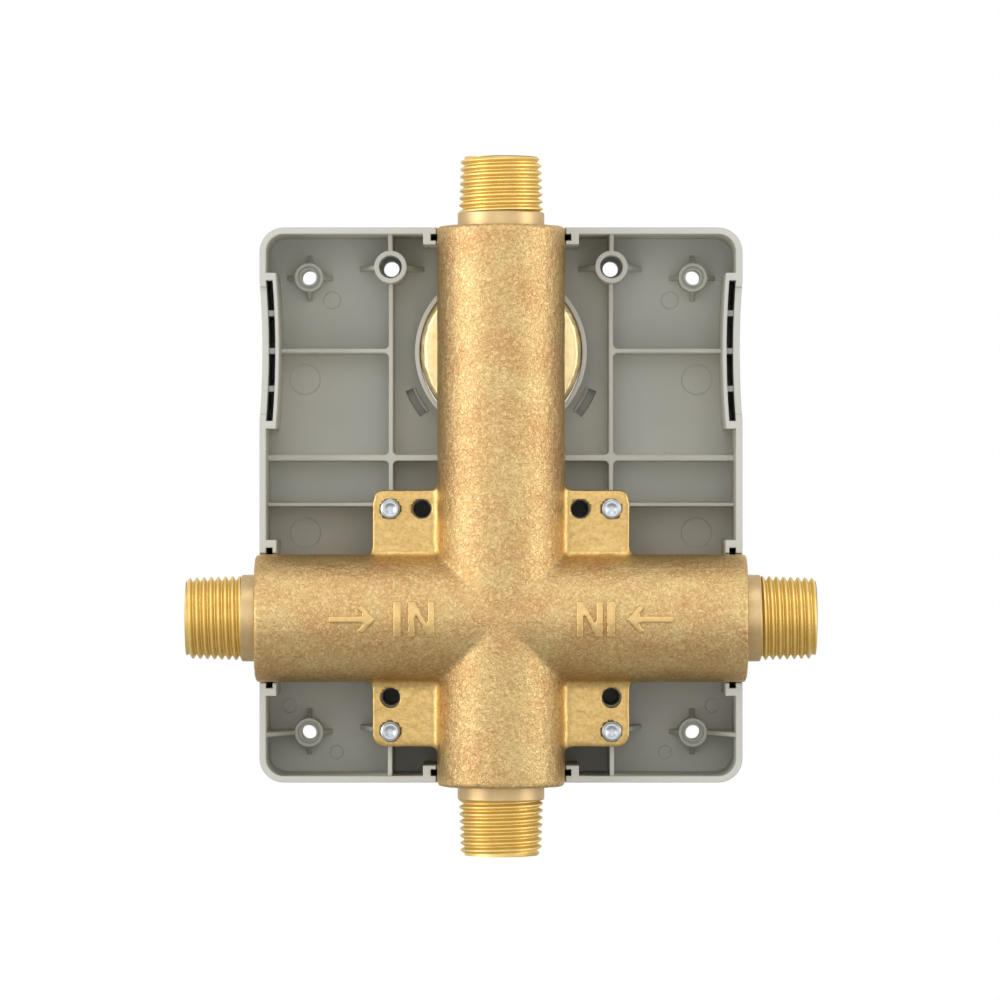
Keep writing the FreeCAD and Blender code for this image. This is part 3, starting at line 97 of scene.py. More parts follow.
# Sockets of the same moulding behind the plain lug holes, hollow posts on its floor that back the lugs and
# leave the holes dark.
SOCKET_RADIUS = 3.9
SOCKET_BORE = 2.2
SOCKET_BACK = -15.0
SOCKET_CHAMFER = 0.3
SOCKET_STEPS = 48
BOX_FLOOR = 8.0
BORE_FLOOR = BOX_FLOOR - 0.5
LUG_HOLES = ((20.1, -1.0), (28.0, -48.8))

profile = [(SOCKET_RADIUS, BOX_FLOOR), (SOCKET_RADIUS, SOCKET_BACK + SOCKET_CHAMFER),
           (SOCKET_RADIUS - SOCKET_CHAMFER, SOCKET_BACK), (SOCKET_BORE, SOCKET_BACK),
           (SOCKET_BORE, BORE_FLOOR), (0.0, BORE_FLOOR)]
sockets = bmesh.new()
for across, up in [(hole[0] * side, hole[1]) for hole in LUG_HOLES for side in (-1, 1)]:
    rings = []
    for step in range(SOCKET_STEPS):
        swing = 2 * math.pi * step / SOCKET_STEPS
        cosine, sine = math.cos(swing), math.sin(swing)
        rings.append([sockets.verts.new((across + radius * cosine, depth, up + radius * sine))
                      for radius, depth in profile])
    for step in range(SOCKET_STEPS):
        first, second = rings[step], rings[(step + 1) % SOCKET_STEPS]
        for index in range(len(profile) - 1):
            sockets.faces.new((first[index], first[index + 1], second[index + 1], second[index]))
bmesh.ops.remove_doubles(sockets, verts=sockets.verts, dist=0.002)
bmesh.ops.holes_fill(sockets, edges=sockets.edges, sides=SOCKET_STEPS)
bmesh.ops.recalc_face_normals(sockets, faces=sockets.faces)


def new_piece(name, shape):
    """Turns a shape drawn in millimetres into a piece of the scene."""
    shape.transform(Matrix.Scale(MM, 4))
    mesh = bpy.data.meshes.new(name)
    shape.to_mesh(mesh)
    shape.free()
    piece = bpy.data.objects.new(name, mesh)
    bpy.context.scene.collection.objects.link(piece)
    return piece


lug_sockets = new_piece("lug_sockets", sockets)
lug_sockets.data.materials.append(moulded_abs)
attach(lug_sockets, "valve")

# Cast cross: one sand casting in yellow brass. Two crossing tubes with soft valleys between them, four thin
# lugs, the front barrels, and IN with an arrow raised on each inlet arm by the pattern.
TUBE_RADIUS = 16.2
TUBE_Y = -18.0
CROSS_Z = -28.7
DIVERTER_Z = 39.2
ARM_REACH = 62.3
TOP = 70.7
BOTTOM = -71.3
STOP_X = 44.0
MAIN_BARREL_RADIUS = 23.8
MAIN_BARREL_FRONT = 34.0
DIVERTER_BARREL_RADIUS = 20.6
DIVERTER_BARREL_FRONT = 26.0
DIVERTER_FACE_RADIUS = 19.5
DIVERTER_FACE_Y = -10.0
DIVERTER_RIM_Y = -8.7
STOP_BARREL_RADIUS = 12.6
STOP_BARREL_FRONT = 13.0
LUG_HALF = 32.5
LUG_CORNER = 2.6
LUG_FACE = 3.0
LUG_SCREWS = ((28.0, -1.0), (28.0, -57.3))


def add_rod(shape, radius, start, end, sides=96):
    """Adds a closed cylinder between two points."""
    start = Vector(start)
    end = Vector(end)
    turn = (end - start).to_track_quat("Z", "Y").to_matrix().to_4x4()
    bmesh.ops.create_cone(shape, cap_ends=True, segments=sides, radius1=radius, radius2=radius,
                          depth=(end - start).length, matrix=Matrix.Translation((start + end) / 2) @ turn)


def add_stepped_bore(shape, across, up, profile, sides=96):
    """Adds a closed stepped cylinder along Y; its profile is (depth, radius) points from end to end."""
    rings = []
    for depth, radius in profile:
        swings = [2 * math.pi * step / sides for step in range(sides)]
        places = [(across + radius * math.cos(swing), depth, up + radius * math.sin(swing)) for swing in swings]
        rings.append([shape.verts.new(place) for place in places])
    for low, high in zip(rings, rings[1:]):
        for step in range(sides):
            after = (step + 1) % sides
            shape.faces.new((low[step], low[after], high[after], high[step]))
    shape.faces.new(rings[0][::-1])
    shape.faces.new(rings[-1])


def add_mark(shape, outline, centre_x, turned):
    """Adds a raised mark that wraps round the rear of the level tube; outline points are (along, up)."""
    mark = bmesh.new()
    base = [mark.verts.new((along, up, -1.2)) for along, up in outline]
    face = mark.faces.new(base)
    grown = bmesh.ops.extrude_face_region(mark, geom=[face])["geom"]
    bmesh.ops.translate(mark, vec=(0, 0, 1.2 + MARK_HEIGHT),
                        verts=[item for item in grown if isinstance(item, bmesh.types.BMVert)])
    for level in range(-4, 5):
        everything = mark.verts[:] + mark.edges[:] + mark.faces[:]
        bmesh.ops.bisect_plane(mark, geom=everything, plane_co=(0, level, 0), plane_no=(0, 1, 0))
    bmesh.ops.recalc_face_normals(mark, faces=mark.faces)
    for vertex in mark.verts:
        along, up, lift = vertex.co
        if turned:
            along, up = -along, -up
        radius = TUBE_RADIUS + lift
        swing = up / TUBE_RADIUS
        vertex.co = (centre_x + along, TUBE_Y - radius * math.cos(swing), CROSS_Z + radius * math.sin(swing))
    made = bpy.data.meshes.new("mark")
    mark.to_mesh(made)
    mark.free()
    shape.from_mesh(made)
    bpy.data.meshes.remove(made)


cross = bmesh.new()
add_rod(cross, TUBE_RADIUS, (-ARM_REACH, TUBE_Y, CROSS_Z), (ARM_REACH, TUBE_Y, CROSS_Z))
add_rod(cross, TUBE_RADIUS, (0, TUBE_Y, BOTTOM), (0, TUBE_Y, TOP))
add_rod(cross, MAIN_BARREL_RADIUS, (0, TUBE_Y, CROSS_Z), (0, MAIN_BARREL_FRONT, CROSS_Z))
add_rod(cross, DIVERTER_BARREL_RADIUS, (0, DIVERTER_RIM_Y, DIVERTER_Z), (0, DIVERTER_BARREL_FRONT, DIVERTER_Z))
add_rod(cross, DIVERTER_FACE_RADIUS, (0, DIVERTER_FACE_Y, DIVERTER_Z), (0, 0.0, DIVERTER_Z))
for side in (-1, 1):
    add_rod(cross, STOP_BARREL_RADIUS, (STOP_X * side, TUBE_Y, CROSS_Z),
            (STOP_X * side, STOP_BARREL_FRONT, CROSS_Z))

plate = bmesh.ops.create_cube(cross, size=2.0)["verts"]
bmesh.ops.scale(cross, vec=(LUG_HALF, LUG_FACE, LUG_HALF), verts=plate)
bmesh.ops.translate(cross, vec=(0, TUBE_Y, CROSS_Z), verts=plate)
corners = [edge for edge in cross.edges if edge.verts[0] in plate and edge.verts[1] in plate
           and abs(edge.verts[0].co.y - edge.verts[1].co.y) > 1]
bmesh.ops.bevel(cross, geom=corners, offset=LUG_CORNER, segments=4, profile=0.5, affect="EDGES")

# Fillets where the lugs run into the tubes, and small flares where the lugs' edges meet them.
FLARE = 2.0
VALLEY = 2.2
FILLET_START = 14.0
FILLET_LENGTH = 18.3
FLARE_FOOT = TUBE_RADIUS - 0.2


def add_prism(shape, outline, place):
    """Adds a prism. Its outline is (across, along) points, which place() sets at levels 0 and 1."""
    ends = [[shape.verts.new(place(across, along, level)) for across, along in outline] for level in (0, 1)]
    shape.faces.new(ends[0])
    shape.faces.new(ends[1][::-1])
    for index in range(len(outline)):
        after = (index + 1) % len(outline)
        shape.faces.new((ends[0][index], ends[0][after], ends[1][after], ends[1][index]))


valley_across = math.sqrt((TUBE_RADIUS + VALLEY) ** 2 - (LUG_FACE + VALLEY) ** 2)
reach = math.pi / 2 - math.atan2(LUG_FACE + VALLEY, valley_across)
fillet = [(13.8, LUG_FACE - 1.0), (valley_across, LUG_FACE - 1.0)]
for turn in [reach * step / 6 for step in range(7)]:
    fillet.append((valley_across - VALLEY * math.sin(turn), LUG_FACE + VALLEY - VALLEY * math.cos(turn)))
curve = [(FLARE - FLARE * math.sin(turn), FLARE - FLARE * math.cos(turn))
         for turn in [math.pi / 2 * step / 5 for step in range(6)]]
flare = [(-1.0, -1.0)] + [(-1.0, FLARE)] + curve[::-1] + [(FLARE, -1.0)]
for side_x in (-1, 1):
    for side_z in (-1, 1):
        add_prism(cross, fillet, lambda across, along, level: (
            across * side_x, TUBE_Y - along, CROSS_Z + side_z * (FILLET_START + FILLET_LENGTH * level)))
        add_prism(cross, fillet, lambda across, along, level: (
            side_x * (FILLET_START + FILLET_LENGTH * level), TUBE_Y - along, CROSS_Z + across * side_z))
        add_prism(cross, flare, lambda across, along, level: (
            side_x * (LUG_HALF + across), TUBE_Y - LUG_FACE + 2 * LUG_FACE * level,
            CROSS_Z + side_z * (FLARE_FOOT + along)))
        add_prism(cross, flare, lambda across, along, level: (
            side_x * (FLARE_FOOT + along), TUBE_Y - LUG_FACE + 2 * LUG_FACE * level,
            CROSS_Z + side_z * (LUG_HALF + across)))
bmesh.ops.recalc_face_normals(cross, faces=cross.faces)

rough_cross = new_piece("rough_cross", cross)
one_skin = rough_cross.modifiers.new("one_skin", "REMESH")
one_skin.mode = "VOXEL"
one_skin.voxel_size = 0.65 * MM
valley = rough_cross.modifiers.new("soft_valleys", "SMOOTH")
valley.factor = 0.5
valley.iterations = 4
sand = bpy.data.textures.new("moulding_sand", "CLOUDS")
sand.noise_scale = 1.4 * MM
sand.noise_depth = 2
relief = rough_cross.modifiers.new("sand_relief", "DISPLACE")
relief.texture = sand
relief.texture_coords = "LOCAL"
relief.mid_level = 0.5
relief.strength = 0.26 * MM

MARK_HEIGHT = 0.85
LETTER_HALF = 4.5
letter_i = [(-1.0, -LETTER_HALF), (1.0, -LETTER_HALF), (1.0, LETTER_HALF), (-1.0, LETTER_HALF)]
letter_n = [(-3.3, -LETTER_HALF), (-1.6, -LETTER_HALF), (-1.6, 1.7), (1.5, -LETTER_HALF), (3.3, -LETTER_HALF),
            (3.3, LETTER_HALF), (1.6, LETTER_HALF), (1.6, -1.7), (-1.5, LETTER_HALF), (-3.3, LETTER_HALF)]
arrow = [(-5.9, -0.75), (3.0, -0.75), (1.0, -2.9), (2.6, -3.5), (5.9, 0.0), (2.6, 3.5), (1.0, 2.9), (3.0, 0.75),
         (-5.9, 0.75)]
marks = bmesh.new()
for outline, left_x, right_x in ((letter_n, -20.0, 22.3), (letter_i, -26.1, 27.6), (arrow, -37.3, 37.3)):
    add_mark(marks, outline, left_x, False)
    add_mark(marks, outline, right_x, True)
rough_marks = new_piece("rough_marks", marks)
worn = rough_marks.modifiers.new("one_skin", "REMESH")
worn.mode = "VOXEL"
worn.voxel_size = 0.28 * MM
rounded = rough_marks.modifiers.new("worn_edges", "SMOOTH")
rounded.factor = 0.5
rounded.iterations = 4

# The bores are cut after the sand texture, so they come out clean. No two of their cylinders overlap.
bores = bmesh.new()
for side in (-1, 1):
    add_rod(bores, 8.0, (ARM_REACH * side + side, TUBE_Y, CROSS_Z), (54.0 * side, TUBE_Y, CROSS_Z), 64)
    add_stepped_bore(bores, STOP_X * side, CROSS_Z, ((-26.4, 8.08), (6.0, 8.08), (6.0, 9.6), (15.0, 9.6)), 64)
    for across, up in LUG_SCREWS:
        add_rod(bores, 2.5, (across * side, -24.0, up), (across * side, -12.0, up), 48)
    for across, up in LUG_HOLES:
        add_rod(bores, 2.54, (across * side, -24.0, up), (across * side, -12.0, up), 48)
add_stepped_bore(bores, 0, CROSS_Z, ((-6.0, 20.1), (24.5, 20.1), (24.5, 21.2), (37.0, 21.2)))
add_stepped_bore(bores, 0, DIVERTER_Z, ((0.0, 17.3), (13.0, 17.3), (13.0, 18.2), (29.0, 18.2)))
add_rod(bores, 7.5, (0, TUBE_Y, 44.0), (0, TUBE_Y, TOP + 1), 64)
add_rod(bores, 7.5, (0, TUBE_Y, BOTTOM - 1), (0, TUBE_Y, -60.0), 64)
bmesh.ops.recalc_face_normals(bores, faces=bores.faces)
bore_tool = new_piece("bore_tool", bores)
boring = rough_cross.modifiers.new("bores", "BOOLEAN")
boring.operation = "DIFFERENCE"
boring.solver = "MANIFOLD"
boring.object = bore_tool

bpy.context.view_layer.update()
casting = bmesh.new()
skin_faces = 0
for rough in (rough_cross, rough_marks):
    skin_faces = len(casting.faces)
    skin = bpy.data.meshes.new_from_object(rough.evaluated_get(bpy.context.evaluated_depsgraph_get()))
    casting.from_mesh(skin)
    bpy.data.meshes.remove(skin)
cast_mesh = bpy.data.meshes.new("cast_cross")
casting.to_mesh(cast_mesh)
casting.free()
cast_cross = bpy.data.objects.new("cast_cross", cast_mesh)
bpy.context.scene.collection.objects.link(cast_cross)
for spare in (rough_cross, rough_marks, bore_tool):
    bpy.data.objects.remove(spare)
for polygon in cast_mesh.polygons:
    polygon.use_smooth = True

# Brass, sand cast and shot blasted: pale matt gold. Blunt crests of sand grains, worm-shaped and up to a
# millimetre long, are painted lighter as painted highlight, and the hollows between them are painted brown as
# painted shade.
cast_brass, tree, shader, place = new_finish("sand_cast_brass")
cloud = add_node(tree, "ShaderNodeTexNoise", {"Vector": place, "Scale": 1 / (9 * MM), "Detail": 4.0})
spread = add_node(tree, "ShaderNodeMapRange", {"Value": cloud.outputs["Fac"],
                                               "From Min": 0.30, "From Max": 0.70})
patch = add_node(tree, "ShaderNodeMix", {0: spread.outputs["Result"],
                                         6: linear("#B68F60"), 7: linear("#C4AA75")}, data_type="RGBA")
crests = add_node(tree, "ShaderNodeTexNoise", {"Vector": place, "Scale": 1 / (0.7 * MM), "Detail": 3.0,
                                               "Roughness": 0.6, "Distortion": 1.0})
# Grain crests painted lighter towards #EDD7A6: painted highlight.
crest_highlight = add_node(tree, "ShaderNodeMapRange", {"Value": crests.outputs["Fac"],
                                               "From Min": 0.50, "From Max": 0.68,
                                               "To Min": 0.0, "To Max": 0.45})
highlit_crests = add_node(tree, "ShaderNodeMix", {0: crest_highlight.outputs["Result"], 6: patch.outputs[2],
                                          7: linear("#EDD7A6")}, data_type="RGBA")
# Grain hollows painted darker towards #92703F: painted shade.
hollow_shade = add_node(tree, "ShaderNodeMapRange", {"Value": crests.outputs["Fac"],
                                               "From Min": 0.34, "From Max": 0.50,
                                               "To Min": 0.4, "To Max": 0.0})
shaded_hollows = add_node(tree, "ShaderNodeMix", {0: hollow_shade.outputs["Result"], 6: highlit_crests.outputs[2],
                                           7: linear("#92703F")}, data_type="RGBA")
crested = add_node(tree, "ShaderNodeBump", {"Strength": 1.0, "Distance": 0.20 * MM,
                                            "Height": crests.outputs["Fac"]})
tree.links.new(shaded_hollows.outputs[2], shader.inputs["Base Color"])
tree.links.new(crested.outputs["Normal"], shader.inputs["Normal"])
shader.inputs["Metallic"].default_value = 1.0
shader.inputs["Roughness"].default_value = 0.45
cast_mesh.materials.clear()
cast_mesh.materials.append(cast_brass)

# The same casting where its lugs were faced on a belt: smoother and yellower, with a fine even grain whose low
# spots are painted darker as painted shade.
faced_brass, tree, shader, place = new_finish("belt_faced_brass")
patch = add_node(tree, "ShaderNodeTexNoise", {"Vector": place, "Scale": 1 / (7 * MM), "Detail": 3.0})
tone = add_node(tree, "ShaderNodeMix", {0: patch.outputs["Fac"], 6: linear("#BFA064"), 7: linear("#CFB277")},
                data_type="RGBA")
speckle = add_node(tree, "ShaderNodeTexNoise", {"Vector": place, "Scale": 1 / (0.8 * MM), "Detail": 3.0})
# Low spots of the grain painted darker towards #A08048: painted shade.
pit_shade = add_node(tree, "ShaderNodeMapRange", {"Value": speckle.outputs["Fac"],
                                               "From Min": 0.35, "From Max": 0.6,
                                               "To Min": 0.4, "To Max": 0.0})
shaded_hollows = add_node(tree, "ShaderNodeMix", {0: pit_shade.outputs["Result"], 6: tone.outputs[2],
                                           7: linear("#A08048")}, data_type="RGBA")
faced = add_node(tree, "ShaderNodeBump", {"Strength": 0.6, "Distance": 0.12 * MM,
                                          "Height": speckle.outputs["Fac"]})
tree.links.new(shaded_hollows.outputs[2], shader.inputs["Base Color"])
tree.links.new(faced.outputs["Normal"], shader.inputs["Normal"])
shader.inputs["Metallic"].default_value = 1.0
shader.inputs["Roughness"].default_value = 0.42
cast_mesh.materials.append(faced_brass)

# The same casting on the raised marks, where it was rubbed against other castings: a little yellower and
# smoother.
rubbed_brass, tree, shader, place = new_finish("rubbed_cast_brass")
wear = add_node(tree, "ShaderNodeTexNoise", {"Vector": place, "Scale": 1 / (1.2 * MM), "Detail": 3.0})
tone = add_node(tree, "ShaderNodeMix", {0: wear.outputs["Fac"], 6: linear("#B99862"), 7: linear("#D6B980")},
                data_type="RGBA")
pitted = add_node(tree, "ShaderNodeTexNoise", {"Vector": place, "Scale": 1 / (0.9 * MM), "Detail": 3.0})
skin = add_node(tree, "ShaderNodeBump", {"Strength": 0.8, "Distance": 0.09 * MM,
                                         "Height": pitted.outputs["Fac"]})
tree.links.new(tone.outputs[2], shader.inputs["Base Color"])
tree.links.new(skin.outputs["Normal"], shader.inputs["Normal"])
shader.inputs["Metallic"].default_value = 1.0
shader.inputs["Roughness"].default_value = 0.42
cast_mesh.materials.append(rubbed_brass)

# The same casting on the rear face of the diverter barrel, turned flat and nearly clean; its pale yellow is
# painted highlight.
highlit_diverter_face, tree, shader, place = new_finish("painted_highlight_casting_face")
wear = add_node(tree, "ShaderNodeTexNoise", {"Vector": place, "Scale": 1 / (2.0 * MM), "Detail": 3.0})
tone = add_node(tree, "ShaderNodeMix", {0: wear.outputs["Fac"], 6: linear("#D8BE86"), 7: linear("#F0DFB2")},
                data_type="RGBA")
tree.links.new(tone.outputs[2], shader.inputs["Base Color"])
shader.inputs["Metallic"].default_value = 1.0
shader.inputs["Roughness"].default_value = 0.42
cast_mesh.materials.append(highlit_diverter_face)
for polygon in cast_mesh.polygons:
    centre = polygon.center / MM
    on_lug = abs(centre.y - TUBE_Y) < 5.2 and abs(centre.x) > 15.6 and abs(centre.z - CROSS_Z) > 15.6
    if polygon.index >= skin_faces:
        polygon.material_index = 2
    elif on_lug:
        polygon.material_index = 1
    # The diverter barrel's rear face takes the paler brass: painted highlight.
    elif -11.0 < centre.y < -8.0 and abs(centre.x) > 14.0 and abs(centre.z - DIVERTER_Z) < 21.0:
        polygon.material_index = 3
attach(cast_cross, "valve")
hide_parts("valve_body")

# Pipe ends: turned on the casting's four ends, each a short collar and half-inch tapered pipe thread,
# 14 turns to the inch on a 1 in 16 cone, cut with a die and chamfered at its tip.
PITCH = 25.4 / 14
THREAD_DEPTH = 1.05
COLLAR_RADIUS = 11.0
COLLAR_LENGTH = 3.5
THREAD_LENGTH = 14.0
THREAD_CREST_RADIUS = 10.67
TAPER = 1 / 32
MOUTH_RADIUS = 7.5
THREAD_FLANKS = ((0.0, 0.0), (0.12, 0.0), (0.46, 1.0), (0.58, 1.0), (0.92, 0.0))
STEPS_ROUND = 96


def thread_rings(pitch, length, depth, crest_at, chamfer, low_at=0.0):
    """Rings of a screw thread as rows of (height, radius), one row for each step round, ready to skin."""
    rows = []
    turns = math.ceil(length / pitch) + 1
    for step in range(STEPS_ROUND + 1):
        row = []
        for turn in range(-1, turns):
            for share, sunk in THREAD_FLANKS:
                height = (turn + share + step / STEPS_ROUND) * pitch
                inside = min(max(height, 0.0), length)
                radius = min(crest_at(inside) - depth * sunk, chamfer(inside))
                row.append((low_at + inside, radius))
        rows.append(row)
    return rows


def skin_rows(shape, rows, before, after):
    """Skins rows of (height, radius) round the Z axis, with plain rings before and after them."""
    grid = []
    for step, row in enumerate(rows):
        swing = 2 * math.pi * step / STEPS_ROUND
        grid.append([shape.verts.new((radius * math.cos(swing), radius * math.sin(swing), height))
                     for height, radius in before + row + after])
    for first, second in zip(grid, grid[1:]):
        for index in range(len(first) - 1):
            shape.faces.new((first[index], second[index], second[index + 1], first[index + 1]))
    bmesh.ops.remove_doubles(shape, verts=shape.verts, dist=0.002)


def crest_radius(height):
    return THREAD_CREST_RADIUS - height * TAPER


def tip_chamfer(height):
    return crest_radius(THREAD_LENGTH) - 0.9 + (THREAD_LENGTH - height) * 1.0


rows = thread_rings(PITCH, THREAD_LENGTH, THREAD_DEPTH, crest_radius, tip_chamfer, COLLAR_LENGTH)
collar = [(-3.0, MOUTH_RADIUS), (-3.0, COLLAR_RADIUS), (COLLAR_LENGTH - 0.3, COLLAR_RADIUS),
          (COLLAR_LENGTH, COLLAR_RADIUS - 0.3)]
tip_height = COLLAR_LENGTH + THREAD_LENGTH
mouth = [(tip_height, MOUTH_RADIUS + 0.4), (tip_height - 0.4, MOUTH_RADIUS), (-3.0, MOUTH_RADIUS)]

# Brass, turned and die cut: bright yellow with fine rings round its axis and polished crests.
turned_brass, tree, shader, place = new_finish("turned_brass")
wear = add_node(tree, "ShaderNodeTexNoise", {"Vector": place, "Scale": 1 / (3 * MM), "Detail": 4.0})
tone = add_node(tree, "ShaderNodeMix", {0: wear.outputs["Fac"], 6: linear("#DCBE6C"), 7: linear("#E8D090")},
                data_type="RGBA")
tool = add_node(tree, "ShaderNodeTexNoise", {"Vector": place, "Scale": 1 / (0.4 * MM), "Detail": 2.0})
ringed = add_node(tree, "ShaderNodeBump", {"Strength": 0.3, "Distance": 0.03 * MM,
                                           "Height": tool.outputs["Fac"]})
tree.links.new(tone.outputs[2], shader.inputs["Base Color"])
tree.links.new(ringed.outputs["Normal"], shader.inputs["Normal"])
shader.inputs["Metallic"].default_value = 1.0
shader.inputs["Roughness"].default_value = 0.48

# Brass, turned coarse on the collars and left to dull: paler and greyer than the threads.
collar_brass, tree, shader, place = new_finish("dull_turned_brass")
wear = add_node(tree, "ShaderNodeTexNoise", {"Vector": place, "Scale": 1 / (2.5 * MM), "Detail": 4.0})
tone = add_node(tree, "ShaderNodeMix", {0: wear.outputs["Fac"], 6: linear("#B99E70"), 7: linear("#D0B88C")},
                data_type="RGBA")
tree.links.new(tone.outputs[2], shader.inputs["Base Color"])
shader.inputs["Metallic"].default_value = 1.0
shader.inputs["Roughness"].default_value = 0.48

for name, base, direction in (("left_pipe_end", (-ARM_REACH, TUBE_Y, CROSS_Z), (-1, 0, 0)),
                              ("right_pipe_end", (ARM_REACH, TUBE_Y, CROSS_Z), (1, 0, 0)),
                              ("top_pipe_end", (0, TUBE_Y, TOP), (0, 0, 1)),
                              ("bottom_pipe_end", (0, TUBE_Y, BOTTOM), (0, 0, -1))):
    end = bmesh.new()
    skin_rows(end, rows, collar, mouth)
    for face in end.faces:
        face.material_index = 1 if face.calc_center_median().z < COLLAR_LENGTH else 0
    end.transform(Matrix.Translation(base) @ Vector(direction).to_track_quat("Z", "Y").to_matrix().to_4x4())
    bmesh.ops.recalc_face_normals(end, faces=end.faces)
    pipe_end = new_piece(name, end)
    pipe_end.data.materials.append(turned_brass)
    pipe_end.data.materials.append(collar_brass)
    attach(pipe_end, "valve")

# Body screws: four M5 pan-head steel screws, cold headed and thread rolled, zinc plated. They go in from
# the front of the box and their cupped tips stand out behind the lugs.
SCREW_RADIUS = 2.45
SCREW_TIP_Y = -23.0
SCREW_SEAT_Y = 10.0
SCREW_PITCH = 0.8
SCREW_DEPTH = 0.4
SCREW_THREAD = 14.0
HEAD_RADIUS = 4.75
HEAD_HEIGHT = 3.4


def screw_crest(height):
    return SCREW_RADIUS


def screw_point(height):
    return SCREW_RADIUS - 0.5 + height


screw_rows = thread_rings(SCREW_PITCH, SCREW_THREAD, SCREW_DEPTH, screw_crest, screw_point)
shank = SCREW_SEAT_Y - SCREW_TIP_Y
cup = [(0.55, 0.0), (0.5, 0.7), (0.25, 1.15), (0.0, 1.5)]
head = [(SCREW_THREAD + 0.3, SCREW_RADIUS - 0.2), (shank, SCREW_RADIUS - 0.2), (shank, HEAD_RADIUS),
        (shank + 1.6, HEAD_RADIUS), (shank + 2.5, HEAD_RADIUS - 0.5), (shank + 3.1, HEAD_RADIUS - 1.7),
        (shank + HEAD_HEIGHT, 2.4), (shank + 2.0, 1.5), (shank + 1.4, 0.0)]

# Steel, zinc plated: pale blue-grey and softly shiny, a little cloudy.
zinc_steel, tree, shader, place = new_finish("zinc_plated_steel")
cloud = add_node(tree, "ShaderNodeTexNoise", {"Vector": place, "Scale": 1 / (1.5 * MM), "Detail": 3.0})
tone = add_node(tree, "ShaderNodeMix", {0: cloud.outputs["Fac"], 6: linear("#A3A9AE"), 7: linear("#C3C9CE")},
                data_type="RGBA")
tree.links.new(tone.outputs[2], shader.inputs["Base Color"])
shader.inputs["Metallic"].default_value = 1.0
shader.inputs["Roughness"].default_value = 0.42

screws = bmesh.new()
for across, up in ((-28.0, -1.0), (28.0, -1.0), (-28.0, -57.3), (28.0, -57.3)):
    one = bmesh.new()
    skin_rows(one, screw_rows, cup, head)
    bmesh.ops.recalc_face_normals(one, faces=one.faces)
    turn = Vector((0, 1, 0)).to_track_quat("Z", "Y").to_matrix().to_4x4()
    one.transform(Matrix.Translation((across, SCREW_TIP_Y, up)) @ turn)
    made = bpy.data.meshes.new("screw")
    one.to_mesh(made)
    one.free()
    screws.from_mesh(made)
    bpy.data.meshes.remove(made)
lug_screws = new_piece("lug_screws", screws)
lug_screws.data.materials.append(zinc_steel)
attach(lug_screws, "valve")
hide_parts("body_screws")

# Cartridges: turned brass nuts and spindles round moulded acetal housings, with lapped ceramic discs, a
# rubber base seal, a stainless balance sleeve and spool, and a red ring that sets the hottest position.
dress(turned_brass, "mixing_retaining_nut", "mixing_spindle", "diverter_retaining_nut", "diverter_spindle")

# Acetal, moulded: milky white with a soft sheen.
white_acetal, tree, shader, place = new_finish("moulded_white_acetal")
flow = add_node(tree, "ShaderNodeTexNoise", {"Vector": place, "Scale": 1 / (8 * MM), "Detail": 2.0})
tone = add_node(tree, "ShaderNodeMix", {0: flow.outputs["Fac"], 6: linear("#E4E3DE"), 7: linear("#F0EFEA")},
                data_type="RGBA")
edge = add_node(tree, "ShaderNodeBevel", {"Radius": 0.25 * MM}, samples=4)
tree.links.new(tone.outputs[2], shader.inputs["Base Color"])
tree.links.new(edge.outputs["Normal"], shader.inputs["Normal"])
shader.inputs["Roughness"].default_value = 0.4
shader.inputs["IOR"].default_value = 1.48
dress(white_acetal, "mixing_cartridge_housing", "mixing_cartridge_base", "diverter_housing",
      "left_check_valve_housing", "right_check_valve_housing", "left_check_valve_poppet",
      "right_check_valve_poppet")

# Acetal dyed red in the melt.
red_acetal, tree, shader, place = new_finish("moulded_red_acetal")
flow = add_node(tree, "ShaderNodeTexNoise", {"Vector": place, "Scale": 1 / (6 * MM), "Detail": 2.0})
tone = add_node(tree, "ShaderNodeMix", {0: flow.outputs["Fac"], 6: linear("#A8201C"), 7: linear("#BC2A24")},
                data_type="RGBA")
edge = add_node(tree, "ShaderNodeBevel", {"Radius": 0.25 * MM}, samples=4)
tree.links.new(tone.outputs[2], shader.inputs["Base Color"])
tree.links.new(edge.outputs["Normal"], shader.inputs["Normal"])
shader.inputs["Roughness"].default_value = 0.4
shader.inputs["IOR"].default_value = 1.48
dress(red_acetal, "temperature_limit_ring")

# Alumina, pressed, fired and lapped: ivory, very smooth, faintly speckled.
lapped_ceramic, tree, shader, place = new_finish("lapped_alumina")
speck = add_node(tree, "ShaderNodeTexNoise", {"Vector": place, "Scale": 1 / (0.8 * MM), "Detail": 2.0})
tone = add_node(tree, "ShaderNodeMix", {0: speck.outputs["Fac"], 6: linear("#E8E4D8"), 7: linear("#F2EFE6")},
                data_type="RGBA")
tree.links.new(tone.outputs[2], shader.inputs["Base Color"])
shader.inputs["Roughness"].default_value = 0.12
shader.inputs["IOR"].default_value = 1.76
dress(lapped_ceramic, "mixing_fixed_disc", "mixing_moving_disc", "diverter_fixed_disc", "diverter_moving_disc")

# Nitrile rubber, moulded: dull black, dusty in its hollows.
seal_rubber, tree, shader, place = new_finish("moulded_nitrile")
dust = add_node(tree, "ShaderNodeTexNoise", {"Vector": place, "Scale": 1 / (2 * MM), "Detail": 3.0})
tone = add_node(tree, "ShaderNodeMix", {0: dust.outputs["Fac"], 6: linear("#1B1B1B"), 7: linear("#2B2B2A")},
                data_type="RGBA")
tree.links.new(tone.outputs[2], shader.inputs["Base Color"])
shader.inputs["Roughness"].default_value = 0.7
shader.inputs["IOR"].default_value = 1.52
dress(seal_rubber, "mixing_base_seal", "diverter_base_seal", "left_stop_seal_ring", "right_stop_seal_ring")

